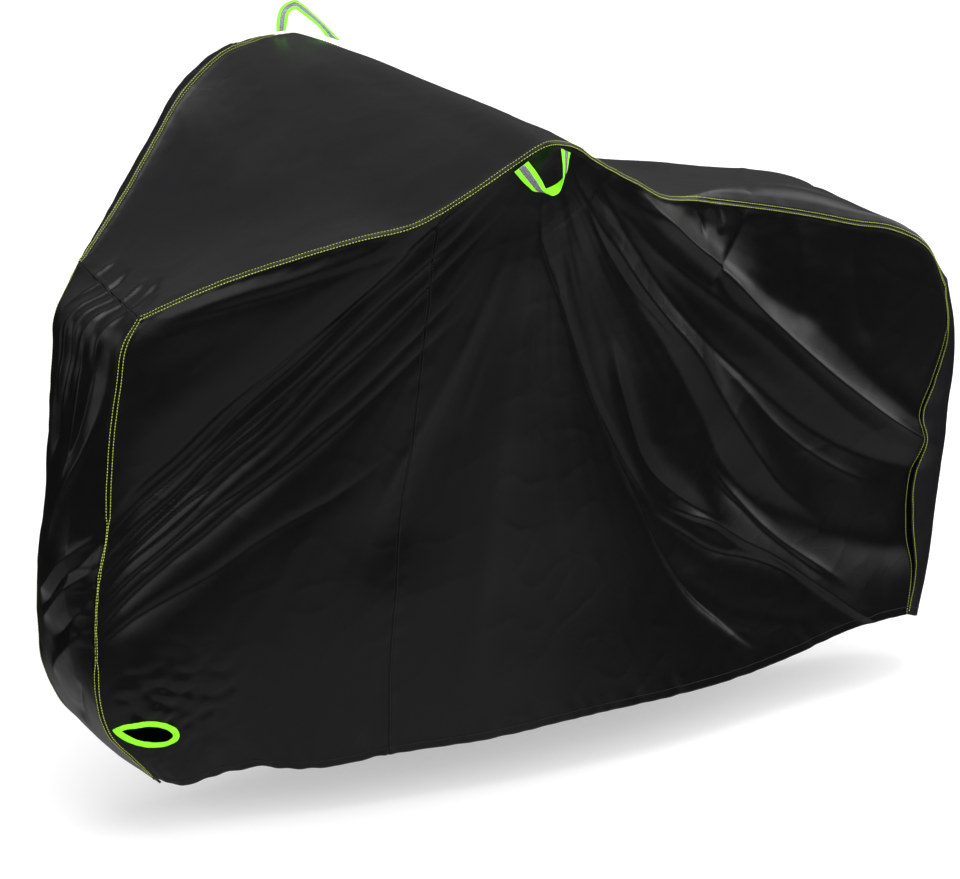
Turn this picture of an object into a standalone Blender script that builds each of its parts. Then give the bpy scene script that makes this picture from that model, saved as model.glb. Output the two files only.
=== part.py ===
"""A fitted bicycle cover, as it drapes over an upright bicycle: coated cloth panels sewn edge to edge.

A centre strip (front panel and top panel) runs from the front hem, over the handlebar and saddle, and down to the
rear hem. On each side of it hangs a side, pieced from a front and a rear cloth at an upright seam. A bound opening
for a lock pierces each front cloth low down, and a webbing loop is sewn over each handlebar end.

Units are metres. x runs back from the handlebar, y across (the near side is at -y), z up. The tables hold heights
above the ground. The finished cover is lowered so that its origin is under its top, where the handlebar holds it.
"""

import bmesh
import bpy
import numpy as np
from mathutils import Matrix, Vector
from mathutils.bvhtree import BVHTree

# Cloth and sewing.
CLOTH = 0.002
SEAM_GAP = 0.0003
BAR_X = 0.035
BAR_HEIGHT = 1.230

# Grid of the cloth: columns along the top seam, rows down a side, strips across the centre.
COLUMNS = 46
SEAM_COLUMN = 12
ROWS = 24
ACROSS = 8
CROWN = 2.2
EDGE_REACH = 0.3
SEAM_PULL = 5
SHARP_ANGLE = 0.9

# Folds: steps along each, and how they rise from their start and fade to their end.
FOLD_STEPS = 25
FOLD_START = 0.25
FADE_IN = 0.12
FADE_OUT = 0.3

# Webbing loops: their feet lie on the cloth.
WEBBING = 0.0018
FOOT_LIFT = 0.0016
BAND_LIFT = 0.003
STEPS_PER_ROW = 3

# Bound lock opening: a teardrop whose tip lies at the front seam.
LOCK_LENGTH = 0.124
LOCK_HEIGHT = 0.060
LOCK_TILT = -0.28
LOCK_CENTRE_X = -0.553
LOCK_CENTRE_HEIGHT = 0.206
LOCK_TIP = 0.6
LOCK_POINTS = 30
LOCK_CUT_DEPTH = 0.3
BINDING = 0.0032
BINDING_WIDTH = 0.010
BINDING_WIDTH_AT_TIPS = 0.016

# Top panel, one row for each cross-section from the brow over the bar and the saddle to the rear hem.
# near x, near half width, near height, middle x, middle height, far x, far half width, far height
TOP = [
    (-0.580, 0.130, 0.930, -0.560, 0.935, -0.550, 0.150, 0.956),
    (-0.476, 0.195, 0.990, -0.470, 0.985, -0.474, 0.205, 1.017),
    (-0.366, 0.260, 1.038, -0.365, 1.045, -0.354, 0.285, 1.121),
    (-0.281, 0.304, 1.068, -0.280, 1.095, -0.270, 0.330, 1.200),
    (-0.203, 0.339, 1.089, -0.200, 1.135, -0.185, 0.363, 1.243),
    (-0.120, 0.370, 1.138, -0.115, 1.175, -0.110, 0.385, 1.254),
    (-0.051, 0.394, 1.187, -0.030, 1.213, -0.045, 0.400, 1.256),
    (-0.003, 0.410, 1.217, 0.035, 1.234, 0.005, 0.412, 1.252),
    (0.037, 0.395, 1.212, 0.080, 1.218, 0.045, 0.400, 1.240),
    (0.158, 0.328, 1.155, 0.170, 1.160, 0.158, 0.330, 1.180),
    (0.272, 0.268, 1.100, 0.280, 1.100, 0.272, 0.268, 1.112),
    (0.375, 0.212, 1.052, 0.390, 1.048, 0.375, 0.212, 1.055),
    (0.473, 0.165, 1.029, 0.500, 1.026, 0.473, 0.165, 1.030),
    (0.560, 0.127, 1.006, 0.595, 1.027, 0.560, 0.127, 1.006),
    (0.665, 0.120, 0.984, 0.700, 1.021, 0.665, 0.120, 0.984),
    (0.780, 0.120, 0.958, 0.805, 1.002, 0.780, 0.120, 0.958),
    (0.870, 0.120, 0.935, 0.905, 0.960, 0.870, 0.120, 0.935),
    (0.955, 0.120, 0.917, 1.000, 0.906, 0.955, 0.120, 0.917),
    (1.050, 0.116, 0.868, 1.100, 0.848, 1.050, 0.116, 0.868),
    (1.104, 0.108, 0.785, 1.165, 0.785, 1.104, 0.108, 0.785),
    (1.128, 0.096, 0.690, 1.198, 0.690, 1.128, 0.096, 0.690),
    (1.112, 0.086, 0.593, 1.215, 0.590, 1.112, 0.086, 0.593),
    (1.095, 0.080, 0.525, 1.214, 0.520, 1.095, 0.080, 0.525),
    (1.108, 0.080, 0.480, 1.212, 0.460, 1.108, 0.080, 0.480),
    (1.087, 0.080, 0.410, 1.208, 0.400, 1.087, 0.080, 0.410),
    (1.090, 0.085, 0.300, 1.196, 0.300, 1.090, 0.085, 0.300),
    (1.098, 0.088, 0.240, 1.188, 0.240, 1.098, 0.088, 0.240),
    (1.085, 0.090, 0.135, 1.165, 0.100, 1.085, 0.090, 0.135),
]
# The row of TOP at which the strip turns down the back.
REAR_TURN = 19

# Front panel below the brow, one row for each cross-section down to the hem. It is alike on both sides.
# seam x, seam half width, seam height, middle x, middle height
FRONT = [
    (-0.604, 0.125, 0.885, -0.623, 0.908),
    (-0.612, 0.120, 0.820, -0.638, 0.830),
    (-0.620, 0.115, 0.750, -0.647, 0.750),
    (-0.625, 0.110, 0.653, -0.658, 0.650),
    (-0.630, 0.110, 0.562, -0.669, 0.560),
    (-0.643, 0.110, 0.500, -0.673, 0.500),
    (-0.649, 0.110, 0.430, -0.671, 0.430),
    (-0.649, 0.110, 0.362, -0.663, 0.360),
    (-0.643, 0.105, 0.279, -0.642, 0.270),
    (-0.620, 0.094, 0.218, -0.610, 0.205),
    (-0.560, 0.075, 0.151, -0.558, 0.135),
    (-0.517, 0.055, 0.105, -0.480, 0.070),
]

# Hem of a side, from the front seam to the rear seam: x, half width, height.
HEM = [
    (-0.517, 0.055, 0.105),
    (-0.464, 0.065, 0.083),
    (-0.423, 0.080, 0.094),
    (-0.334, 0.100, 0.105),
    (-0.267, 0.120, 0.095),
    (-0.096, 0.150, 0.101),
    (0.065, 0.170, 0.101),
    (0.252, 0.180, 0.109),
    (0.485, 0.170, 0.107),
    (0.630, 0.150, 0.105),
    (0.808, 0.120, 0.115),
    (0.953, 0.110, 0.140),
    (1.085, 0.090, 0.135),
]

# Folds of a side, one row each: a curve through three places on the side, and its width and rise out of the cloth
# in millimetres. A trough has a rise below zero.
# start x, height, middle x, height, end x, height, width at start, width at end, rise
NEAR_FOLDS = [
    (-0.204, 1.062, -0.400, 0.957, -0.550, 0.905, 22, 30, -9),
    (-0.230, 0.965, -0.408, 0.831, -0.575, 0.652, 18, 32, -14),
    (-0.070, 1.143, -0.300, 0.885, -0.569, 0.618, 16, 36, -24),
    (-0.100, 1.050, -0.330, 0.800, -0.600, 0.560, 16, 26, 12),
    (-0.264, 0.746, -0.400, 0.630, -0.600, 0.510, 20, 32, -14),
    (-0.337, 0.599, -0.480, 0.495, -0.640, 0.425, 20, 32, -12),
    (-0.006, 1.003, -0.090, 0.770, -0.214, 0.485, 30, 70, -16),
    (0.070, 1.147, 0.400, 0.830, 0.786, 0.438, 18, 46, 22),
    (0.331, 1.061, 0.700, 0.775, 1.057, 0.503, 20, 38, 20),
    (0.483, 0.785, 0.691, 0.613, 0.964, 0.463, 22, 34, -14),
    (0.016, 1.100, 0.250, 0.690, 0.662, 0.172, 20, 52, -30),
    (0.313, 0.706, 0.443, 0.490, 0.610, 0.400, 20, 32, -14),
    (0.418, 0.465, 0.640, 0.345, 0.968, 0.152, 18, 32, -12),
    (0.585, 0.912, 0.750, 0.840, 0.960, 0.700, 60, 70, -14),
]
FAR_FOLDS = [
    (-0.190, 1.200, -0.390, 1.000, -0.560, 0.880, 24, 34, -10),
    (-0.070, 1.180, -0.290, 0.880, -0.560, 0.650, 18, 38, -22),
    (-0.060, 1.120, -0.310, 0.760, -0.600, 0.540, 18, 34, 14),
    (-0.250, 0.720, -0.430, 0.560, -0.630, 0.450, 22, 36, -14),
    (0.020, 1.060, -0.060, 0.760, -0.170, 0.420, 30, 70, -16),
    (0.070, 1.160, 0.380, 0.840, 0.760, 0.460, 20, 48, 22),
    (0.340, 1.050, 0.680, 0.800, 1.050, 0.560, 22, 40, 18),
    (0.030, 1.080, 0.230, 0.680, 0.600, 0.200, 22, 52, -26),
    (0.450, 0.720, 0.640, 0.560, 0.950, 0.420, 24, 36, -12),
]
# Folds of the front panel, with y in place of x.
FRONT_FOLDS = [
    (-0.090, 0.890, -0.060, 0.720, 0.030, 0.520, 14, 22, -8),
    (0.020, 0.890, -0.010, 0.790, 0.010, 0.640, 14, 20, 7),
    (-0.110, 0.600, -0.040, 0.535, 0.050, 0.450, 14, 22, 8),
    (-0.110, 0.510, -0.040, 0.450, 0.050, 0.370, 14, 22, -8),
]

# Webbing loops, one row for each station from the front foot to the rear foot.
# inner edge x, y, height, outer edge x, y, height
NEAR_LOOP = [
    (-0.038, -0.410, 1.191, -0.060, -0.405, 1.175),
    (-0.030, -0.418, 1.178, -0.047, -0.408, 1.160),
    (-0.024, -0.430, 1.162, -0.038, -0.412, 1.151),
    (-0.020, -0.438, 1.149, -0.028, -0.418, 1.143),
    (-0.012, -0.442, 1.140, -0.013, -0.422, 1.146),
    (-0.001, -0.442, 1.142, 0.003, -0.422, 1.150),
    (0.010, -0.438, 1.156, 0.020, -0.420, 1.158),
    (0.016, -0.430, 1.175, 0.034, -0.414, 1.170),
    (0.019, -0.421, 1.194, 0.041, -0.408, 1.187),
    (0.021, -0.414, 1.207, 0.046, -0.404, 1.196),
]
FAR_LOOP = [
    (-0.025, 0.397, 1.262, -0.046, 0.393, 1.262),
    (-0.021, 0.398, 1.277, -0.037, 0.408, 1.281),
    (-0.015, 0.402, 1.291, -0.021, 0.420, 1.300),
    (-0.004, 0.404, 1.297, 0.002, 0.424, 1.309),
    (0.015, 0.406, 1.286, 0.023, 0.425, 1.302),
    (0.030, 0.406, 1.275, 0.040, 0.424, 1.288),
    (0.046, 0.401, 1.261, 0.062, 0.408, 1.264),
    (0.052, 0.390, 1.248, 0.076, 0.378, 1.240),
]

MIRROR = np.array([1, -1, 1])
DROP = Matrix.Translation((-BAR_X, 0, -BAR_HEIGHT))

# Linear colours and roughness of the two finishes.
BLACK_CLOTH = (0.013, 0.014, 0.013, 0.5)
LIME_WEBBING = (0.22, 1.0, 0.0, 0.6)


def smooth_stations(rows, count):
    """Evenly spaced stations on a smooth curve through the rows, measured along their first three columns."""
    rows = np.array(rows, float)
    steps = np.linalg.norm(np.diff(rows[:, :3], axis=0), axis=1)
    at = np.concatenate([[0], np.cumsum(steps)])
    slope = np.gradient(rows, at, axis=0)
    wanted = np.linspace(0, at[-1], count + 1)
    row = np.clip(np.searchsorted(at, wanted, side="right") - 1, 0, len(at) - 2)
    length = (at[row + 1] - at[row])[:, None]
    t = (wanted - at[row])[:, None] / length
    start = (2 * t**3 - 3 * t**2 + 1) * rows[row] + (t**3 - 2 * t**2 + t) * length * slope[row]
    end = (3 * t**2 - 2 * t**3) * rows[row + 1] + (t**3 - t**2) * length * slope[row + 1]
    return start + end


def cross_sections(stations):
    """Grid of points across the centre strip, crowned between its two seams."""
    w = np.linspace(0, 1, ACROSS + 1)[None, :, None]
    near = stations[:, None, 0:3] * MIRROR
    far = stations[:, None, 5:8]
    mean = (near + far) / 2
    middle = mean.copy()
    middle[:, 0, 0] = stations[:, 3]
    middle[:, 0, 2] = stations[:, 4]
    crown = 1 - np.abs(2 * w - 1) ** CROWN
    return near * (1 - w) + far * w + (middle - mean) * crown


def side_grid(top_seam, hem, front_seam, rear_seam):
    """Grid of a side stretched between its four edges. The upright seams draw it in only near themselves."""
    u = np.linspace(0, 1, len(top_seam))[:, None, None]
    v = np.linspace(0, 1, len(front_seam))[None, :, None]
    ruled = (1 - v) * top_seam[:, None] + v * hem[:, None]
    at_front = (1 - u) ** SEAM_PULL * (front_seam[None] - ruled[:1])
    at_rear = u**SEAM_PULL * (rear_seam[None] - ruled[-1:])
    return ruled + at_front + at_rear


def base_grids():
    """The four cloth surfaces without folds: each shares its edge points with its neighbours."""
    along_top = smooth_stations(TOP[: REAR_TURN + 1], COLUMNS)
    down_back = smooth_stations(TOP[REAR_TURN:], ROWS)
    top = cross_sections(np.concatenate([along_top, down_back[1:]]))
    below_brow = [row + row[:3] for row in FRONT]
    front = cross_sections(smooth_stations(TOP[:1] + below_brow, ROWS))
    hem = smooth_stations(HEM, COLUMNS)
    turn = COLUMNS
    near = side_grid(top[: turn + 1, 0], hem * MIRROR, front[:, 0], top[turn:, 0])
    far = side_grid(top[: turn + 1, -1], hem, front[:, -1], top[turn:, -1])
    return {"top": top, "front": front, "near": near, "far": far}


def corner_faces(grid):
    """The two diagonals of each cell, whose cross product is the cell's normal."""
    return grid[1:, 1:] - grid[:-1, :-1], grid[1:, :-1] - grid[:-1, 1:]


def shared_normals(grids, outward):
    """Outward normals at all points. Points that two cloths share have one normal."""
    sums = {}
    for name, grid in grids.items():
        first, second = corner_faces(grid)
        normal = np.cross(first, second) * outward[name]
        for i in range(normal.shape[0]):
            for j in range(normal.shape[1]):
                for corner in ((i, j), (i + 1, j), (i, j + 1), (i + 1, j + 1)):
                    key = tuple(np.round(grid[corner], 6))
                    sums[key] = sums.get(key, 0) + normal[i, j]
    normals = {}
    for name, grid in grids.items():
        found = [sums[tuple(np.round(point, 6))] for point in grid.reshape(-1, 3)]
        found = np.array(found).reshape(grid.shape)
        normals[name] = found / np.linalg.norm(found, axis=-1, keepdims=True)
    return normals


def fold_rise(places, folds):
    """How far the folds lift each place, given by two coordinates, out of the cloth, in metres."""
    rise = np.zeros(places.shape[:-1])
    t = np.linspace(0, 1, FOLD_STEPS)
    for x0, z0, x1, z1, x2, z2, start_width, end_width, height in folds:
        start, middle, end = np.array([(x0, z0), (x1, z1), (x2, z2)])
        bend = 2 * middle - (start + end) / 2
        tt = t[:, None]
        curve = (1 - tt) ** 2 * start + 2 * tt * (1 - tt) * bend + tt**2 * end
        distance = np.linalg.norm(places[..., None, :] - curve, axis=-1)
        nearest = distance.argmin(axis=-1)
        along = t[nearest]
        width = (start_width + (end_width - start_width) * along) / 1000
        fade = np.minimum(1, np.minimum(FOLD_START + along / FADE_IN, (1 - along) / FADE_OUT))
        rise += height / 1000 * fade * np.exp(-((distance.min(axis=-1) / width) ** 2))
    return rise


def folded_grids():
    """The cloth surfaces with their folds, and their outward normals."""
    grids = base_grids()
    outward = {"top": -1, "front": 1, "near": 1, "far": -1}
    normals = shared_normals(grids, outward)
    from_near = np.linspace(0, 1, ACROSS + 1)[None, :]
    near_edge = np.clip(1 - from_near / EDGE_REACH, 0, 1)
    far_edge = np.clip(1 - (1 - from_near) / EDGE_REACH, 0, 1)
    weight = {"near": (1, 0), "far": (0, 1), "top": (near_edge, far_edge), "front": (near_edge, far_edge)}
    folded = {}
    for name, grid in grids.items():
        side_view = grid[..., [0, 2]]
        rise = weight[name][0] * fold_rise(side_view, NEAR_FOLDS)
        rise = rise + weight[name][1] * fold_rise(side_view, FAR_FOLDS)
        if name == "front":
            inside = (1 - near_edge) * (1 - far_edge)
            rise = rise + inside * fold_rise(grid[..., [1, 2]], FRONT_FOLDS)
        folded[name] = grid + rise[..., None] * normals[name]
    return folded, shared_normals(folded, outward)


def part_edges(grid, sewn):
    """The grid drawn in by half the seam gap at each sewn edge: sewn names those of first, last, near, far."""
    grid = grid.copy()
    edges = {"first": (0, 1), "last": (-1, -2)}
    for name, (edge, inside) in edges.items():
        if name in sewn:
            step = grid[inside] - grid[edge]
            grid[edge] += SEAM_GAP / 2 * step / np.linalg.norm(step, axis=-1, keepdims=True)
    edges = {"near": (0, 1), "far": (-1, -2)}
    for name, (edge, inside) in edges.items():
        if name in sewn:
            step = grid[:, inside] - grid[:, edge]
            grid[:, edge] += SEAM_GAP / 2 * step / np.linalg.norm(step, axis=-1, keepdims=True)
    return grid


def add_object(collection, name, points, faces, finish):
    """A named mesh object, lowered to the cover's origin, with its faces turned outwards, in its own finish."""
    made = bpy.data.materials.new(name)
    made.use_nodes = True
    shader = made.node_tree.nodes["Principled BSDF"]
    shader.inputs["Base Color"].default_value = (*finish[:3], 1)
    shader.inputs["Roughness"].default_value = finish[3]
    mesh = bpy.data.meshes.new(name)
    mesh.from_pydata([tuple(point) for point in points], [], faces)
    mesh.transform(DROP)
    shell = bmesh.new()
    shell.from_mesh(mesh)
    bmesh.ops.recalc_face_normals(shell, faces=shell.faces)
    if shell.calc_volume(signed=True) < 0:
        bmesh.ops.reverse_faces(shell, faces=shell.faces)
    shell.to_mesh(mesh)
    shell.free()
    mesh.materials.append(made)
    mesh.shade_smooth()
    mesh.set_sharp_from_angle(angle=SHARP_ANGLE)
    solid = bpy.data.objects.new(name, mesh)
    collection.objects.link(solid)
    return solid


def sheet_faces(rows, columns):
    """Quads of a closed sheet: its outer skin, its inner skin, and the four edges between them."""
    def outer(i, j):
        return i * columns + j

    def inner(i, j):
        return rows * columns + i * columns + j

    faces = []
    for i in range(rows - 1):
        for j in range(columns - 1):
            faces.append((outer(i, j), outer(i + 1, j), outer(i + 1, j + 1), outer(i, j + 1)))
            faces.append((inner(i, j), inner(i, j + 1), inner(i + 1, j + 1), inner(i + 1, j)))
    for i in range(rows - 1):
        faces.append((outer(i, 0), inner(i, 0), inner(i + 1, 0), outer(i + 1, 0)))
        last = columns - 1
        faces.append((outer(i, last), outer(i + 1, last), inner(i + 1, last), inner(i, last)))
    for j in range(columns - 1):
        faces.append((outer(0, j), outer(0, j + 1), inner(0, j + 1), inner(0, j)))
        last = rows - 1
        faces.append((outer(last, j), inner(last, j), inner(last, j + 1), outer(last, j + 1)))
    return faces


def add_cloth(collection, name, grid, normals, sewn):
    """One cut cloth as a closed sheet: the grid is its outer skin."""
    outer = part_edges(grid, sewn)
    inner = outer - CLOTH * normals
    points = np.concatenate([outer.reshape(-1, 3), inner.reshape(-1, 3)])
    faces = sheet_faces(grid.shape[0], grid.shape[1])
    return add_object(collection, name, points, faces, BLACK_CLOTH)


def teardrop(length, height):
    """Outline of the lock opening in the side view, its tip towards the front."""
    turn = np.linspace(0, 2 * np.pi, LOCK_POINTS, endpoint=False)
    along = -length / 2 * np.cos(turn)
    up = height / 2 * np.sin(turn) * np.abs(np.sin(turn / 2)) ** LOCK_TIP
    x = LOCK_CENTRE_X + along * np.cos(LOCK_TILT) - up * np.sin(LOCK_TILT)
    z = LOCK_CENTRE_HEIGHT + along * np.sin(LOCK_TILT) + up * np.cos(LOCK_TILT)
    return np.stack([x, z], axis=1)


def ring_faces(rings, count):
    """Quads between closed rings of points, the last ring joined to the first."""
    faces = []
    for ring in range(rings):
        following = (ring + 1) % rings
        for k in range(count):
            after = (k + 1) % count
            faces.append((ring * count + k, ring * count + after, following * count + after, following * count + k))
    return faces


def add_lock_opening(collection, cutters, cloth, side):
    """Cuts the opening through a front cloth, and binds its edge. side is -1 for near, 1 for far."""
    surface = BVHTree.FromObject(cloth, bpy.context.evaluated_depsgraph_get())
    outline = teardrop(LOCK_LENGTH, LOCK_HEIGHT)
    count = len(outline)
    wall = [(x, side * depth, z) for depth in (0, LOCK_CUT_DEPTH) for x, z in outline]
    caps = [tuple(range(count)), tuple(range(2 * count - 1, count - 1, -1))]
    walls = [(k, count + k, count + (k + 1) % count, (k + 1) % count) for k in range(count)]
    cutter = add_object(cutters, cloth.name + "_lock_cutter", wall, caps + walls, BLACK_CLOTH)
    cutter.hide_render = True
    cutter.display_type = "WIRE"
    cut = cloth.modifiers.new("lock opening", "BOOLEAN")
    cut.operation = "DIFFERENCE"
    cut.object = cutter

    edge = teardrop(LOCK_LENGTH - 4 * SEAM_GAP, LOCK_HEIGHT - 2 * SEAM_GAP)
    hollow = teardrop(LOCK_LENGTH - 2 * BINDING_WIDTH_AT_TIPS, LOCK_HEIGHT - 2 * BINDING_WIDTH)
    skin = []
    for x, z in edge:
        start = DROP @ Vector((x, side, z))
        hit = surface.ray_cast(start, Vector((0, -side, 0)))[0]
        skin.append(hit.y - side * CLOTH / 2)
    skin = np.array(skin)
    rings = []
    for outline, lift in ((edge, 1), (edge, -1), (hollow, -1), (hollow, 1)):
        y = skin + side * lift * BINDING / 2
        rings.append(np.stack([outline[:, 0], y, outline[:, 1]], axis=1))
    name = "lock_binding_near" if side < 0 else "lock_binding_far"
    return add_object(collection, name, np.concatenate(rings), ring_faces(4, count), LIME_WEBBING)


def seat_on(surfaces, point, is_foot):
    """Where the middle of a webbing lies: a foot on the nearest cloth, and any other place at least clear of it."""
    local = DROP @ Vector(point)
    hits = [surface.find_nearest(local) for surface in surfaces]
    place, normal, _, distance = min(hits, key=lambda hit: hit[3])
    lift = FOOT_LIFT if is_foot else BAND_LIFT
    if is_foot or distance < lift:
        return DROP.inverted() @ (place + lift * normal)
    return point


def add_loop(collection, name, rows, cloths):
    """A webbing loop: a flat band between its two edges, with both its feet on the cloth."""
    stations = smooth_stations(rows, STEPS_PER_ROW * (len(rows) - 1))
    first, second = stations[:, 0:3], stations[:, 3:6]
    graph = bpy.context.evaluated_depsgraph_get()
    surfaces = [BVHTree.FromObject(cloth, graph) for cloth in cloths]
    for edge in (first, second):
        for station in range(len(edge)):
            edge[station] = seat_on(surfaces, edge[station], station in (0, len(edge) - 1))
    along = np.gradient((first + second) / 2, axis=0)
    face = np.cross(along, second - first)
    face /= np.linalg.norm(face, axis=1, keepdims=True)
    half = WEBBING / 2 * face
    corners = np.stack([first + half, second + half, second - half, first - half], axis=1)
    count = len(corners)
    faces = [(0, 1, 2, 3), tuple(4 * (count - 1) + k for k in (3, 2, 1, 0))]
    for i in range(count - 1):
        for k in range(4):
            after = (k + 1) % 4
            faces.append((4 * i + k, 4 * (i + 1) + k, 4 * (i + 1) + after, 4 * i + after))
    return add_object(collection, name, corners.reshape(-1, 3), faces, LIME_WEBBING)


def new_collection(name):
    made = bpy.data.collections.new(name)
    bpy.context.scene.collection.children.link(made)
    return made


def add_side(collection, cutters, where, side, grid, normals):
    """A side: its front cloth with the lock opening, and its rear cloth, sewn at the upright seam."""
    split = SEAM_COLUMN + 1
    edges = {"first", "last", "near"}
    front = add_cloth(collection, "side_" + where + "_front", grid[:split], normals[:split], edges)
    add_cloth(collection, "side_" + where + "_rear", grid[split - 1 :], normals[split - 1 :], edges)
    bpy.context.view_layer.update()
    add_lock_opening(collection, cutters, front, side)


def build():
    for leftover in list(bpy.data.objects):
        bpy.data.objects.remove(leftover)
    cover = new_collection("bicycle_cover")
    cutters = new_collection("cutters")
    grids, normals = folded_grids()
    sewn = {"first", "near", "far"}
    add_cloth(cover, "top_panel", grids["top"], normals["top"], sewn)
    add_cloth(cover, "front_panel", grids["front"], normals["front"], sewn)
    add_side(cover, cutters, "near", -1, grids["near"], normals["near"])
    add_side(cover, cutters, "far", 1, grids["far"], normals["far"])
    bpy.context.view_layer.update()
    cloths = [cover.objects[name] for name in ("top_panel", "side_near_front", "side_near_rear", "side_far_rear")]
    add_loop(cover, "loop_near", NEAR_LOOP, cloths)
    add_loop(cover, "loop_far", FAR_LOOP, cloths)


build()
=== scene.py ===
"""How a fitted bicycle cover looks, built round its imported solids.

The cloths hang in the folds that the handlebar and the saddle pull in them. Lime topstitching runs along their seams,
and they carry bound lock openings and webbing loops. Units are metres. x runs back from the handlebar, y across (the
near side is at -y) and z up. The tables hold heights above the ground, as the source of the solids does.
"""

import bpy
import numpy as np
from mathutils import Matrix, Vector, noise
from mathutils.bvhtree import BVHTree


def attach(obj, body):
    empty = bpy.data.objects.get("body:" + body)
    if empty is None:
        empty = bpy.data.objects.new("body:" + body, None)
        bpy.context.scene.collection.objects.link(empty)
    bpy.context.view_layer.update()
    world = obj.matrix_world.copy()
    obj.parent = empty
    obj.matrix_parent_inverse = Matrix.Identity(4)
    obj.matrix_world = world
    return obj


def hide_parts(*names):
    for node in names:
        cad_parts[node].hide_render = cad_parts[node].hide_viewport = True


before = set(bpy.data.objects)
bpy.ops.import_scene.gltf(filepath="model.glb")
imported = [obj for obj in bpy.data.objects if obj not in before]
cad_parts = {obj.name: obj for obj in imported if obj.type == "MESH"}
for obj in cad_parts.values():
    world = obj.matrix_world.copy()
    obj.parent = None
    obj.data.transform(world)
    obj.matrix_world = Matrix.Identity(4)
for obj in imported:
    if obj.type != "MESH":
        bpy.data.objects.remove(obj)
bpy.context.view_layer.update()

# ---------------------------------------------------------------------------------------------------------------------
# The shape of the hanging cloth. Six cloths of coated polyester are sewn edge to edge: a centre strip of two, and two
# on each side. The strip's seams and the hem are the lines that hold the cloth, so each surface starts from them.
# ---------------------------------------------------------------------------------------------------------------------
# The frame starts at the middle of the handlebar.
FRAME_START = np.array([0.035, 0, 1.230])

# Centre strip from the brow over the bar and the saddle to the rear hem.
# near x, near half width, near height, middle x, middle height, far x, far half width, far height
TOP = [
    (-0.580, 0.130, 0.930, -0.560, 0.935, -0.550, 0.150, 0.956),
    (-0.476, 0.195, 0.990, -0.470, 0.985, -0.474, 0.205, 1.017),
    (-0.366, 0.260, 1.038, -0.365, 1.045, -0.354, 0.285, 1.121),
    (-0.281, 0.304, 1.068, -0.280, 1.095, -0.270, 0.330, 1.200),
    (-0.203, 0.339, 1.089, -0.200, 1.135, -0.185, 0.363, 1.243),
    (-0.120, 0.370, 1.138, -0.115, 1.175, -0.110, 0.385, 1.254),
    (-0.051, 0.394, 1.187, -0.030, 1.213, -0.045, 0.400, 1.256),
    (-0.003, 0.410, 1.217, 0.035, 1.234, 0.005, 0.412, 1.252),
    (0.037, 0.395, 1.212, 0.080, 1.218, 0.045, 0.400, 1.240),
    (0.158, 0.328, 1.155, 0.170, 1.160, 0.158, 0.330, 1.180),
    (0.272, 0.268, 1.100, 0.280, 1.100, 0.272, 0.268, 1.112),
    (0.375, 0.212, 1.052, 0.390, 1.048, 0.375, 0.212, 1.055),
    (0.473, 0.165, 1.029, 0.500, 1.026, 0.473, 0.165, 1.030),
    (0.560, 0.127, 1.006, 0.595, 1.027, 0.560, 0.127, 1.006),
    (0.665, 0.120, 0.984, 0.700, 1.021, 0.665, 0.120, 0.984),
    (0.780, 0.120, 0.958, 0.805, 1.002, 0.780, 0.120, 0.958),
    (0.870, 0.120, 0.935, 0.905, 0.960, 0.870, 0.120, 0.935),
    (0.955, 0.120, 0.917, 1.000, 0.906, 0.955, 0.120, 0.917),
    (1.050, 0.116, 0.868, 1.100, 0.848, 1.050, 0.116, 0.868),
    (1.104, 0.108, 0.785, 1.165, 0.785, 1.104, 0.108, 0.785),
    (1.128, 0.096, 0.690, 1.198, 0.690, 1.128, 0.096, 0.690),
    (1.112, 0.086, 0.593, 1.215, 0.590, 1.112, 0.086, 0.593),
    (1.095, 0.080, 0.525, 1.214, 0.520, 1.095, 0.080, 0.525),
    (1.108, 0.080, 0.480, 1.212, 0.460, 1.108, 0.080, 0.480),
    (1.087, 0.080, 0.410, 1.208, 0.400, 1.087, 0.080, 0.410),
    (1.090, 0.085, 0.300, 1.196, 0.300, 1.090, 0.085, 0.300),
    (1.098, 0.088, 0.240, 1.188, 0.240, 1.098, 0.088, 0.240),
    (1.085, 0.090, 0.135, 1.165, 0.100, 1.085, 0.090, 0.135),
]
# The row of TOP at which the strip turns down the back.
REAR_TURN = 19

# Front end of the strip, from below the brow to the hem. It is alike on both sides.
# seam x, seam half width, seam height, middle x, middle height
FRONT = [
    (-0.604, 0.125, 0.885, -0.623, 0.908),
    (-0.612, 0.120, 0.820, -0.638, 0.830),
    (-0.620, 0.115, 0.750, -0.647, 0.750),
    (-0.625, 0.110, 0.653, -0.658, 0.650),
    (-0.630, 0.110, 0.562, -0.669, 0.560),
    (-0.643, 0.110, 0.500, -0.673, 0.500),
    (-0.649, 0.110, 0.430, -0.671, 0.430),
    (-0.649, 0.110, 0.362, -0.663, 0.360),
    (-0.643, 0.105, 0.279, -0.642, 0.270),
    (-0.620, 0.094, 0.218, -0.610, 0.205),
    (-0.560, 0.075, 0.151, -0.558, 0.135),
    (-0.517, 0.055, 0.105, -0.480, 0.070),
]

# Hem of a side, from the front seam to the rear seam: x, half width, height.
HEM = [
    (-0.517, 0.055, 0.105),
    (-0.464, 0.065, 0.083),
    (-0.423, 0.080, 0.094),
    (-0.334, 0.100, 0.105),
    (-0.267, 0.120, 0.095),
    (-0.096, 0.150, 0.101),
    (0.065, 0.170, 0.101),
    (0.252, 0.180, 0.109),
    (0.485, 0.170, 0.107),
    (0.630, 0.150, 0.105),
    (0.808, 0.120, 0.115),
    (0.953, 0.110, 0.140),
    (1.085, 0.090, 0.135),
]

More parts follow.
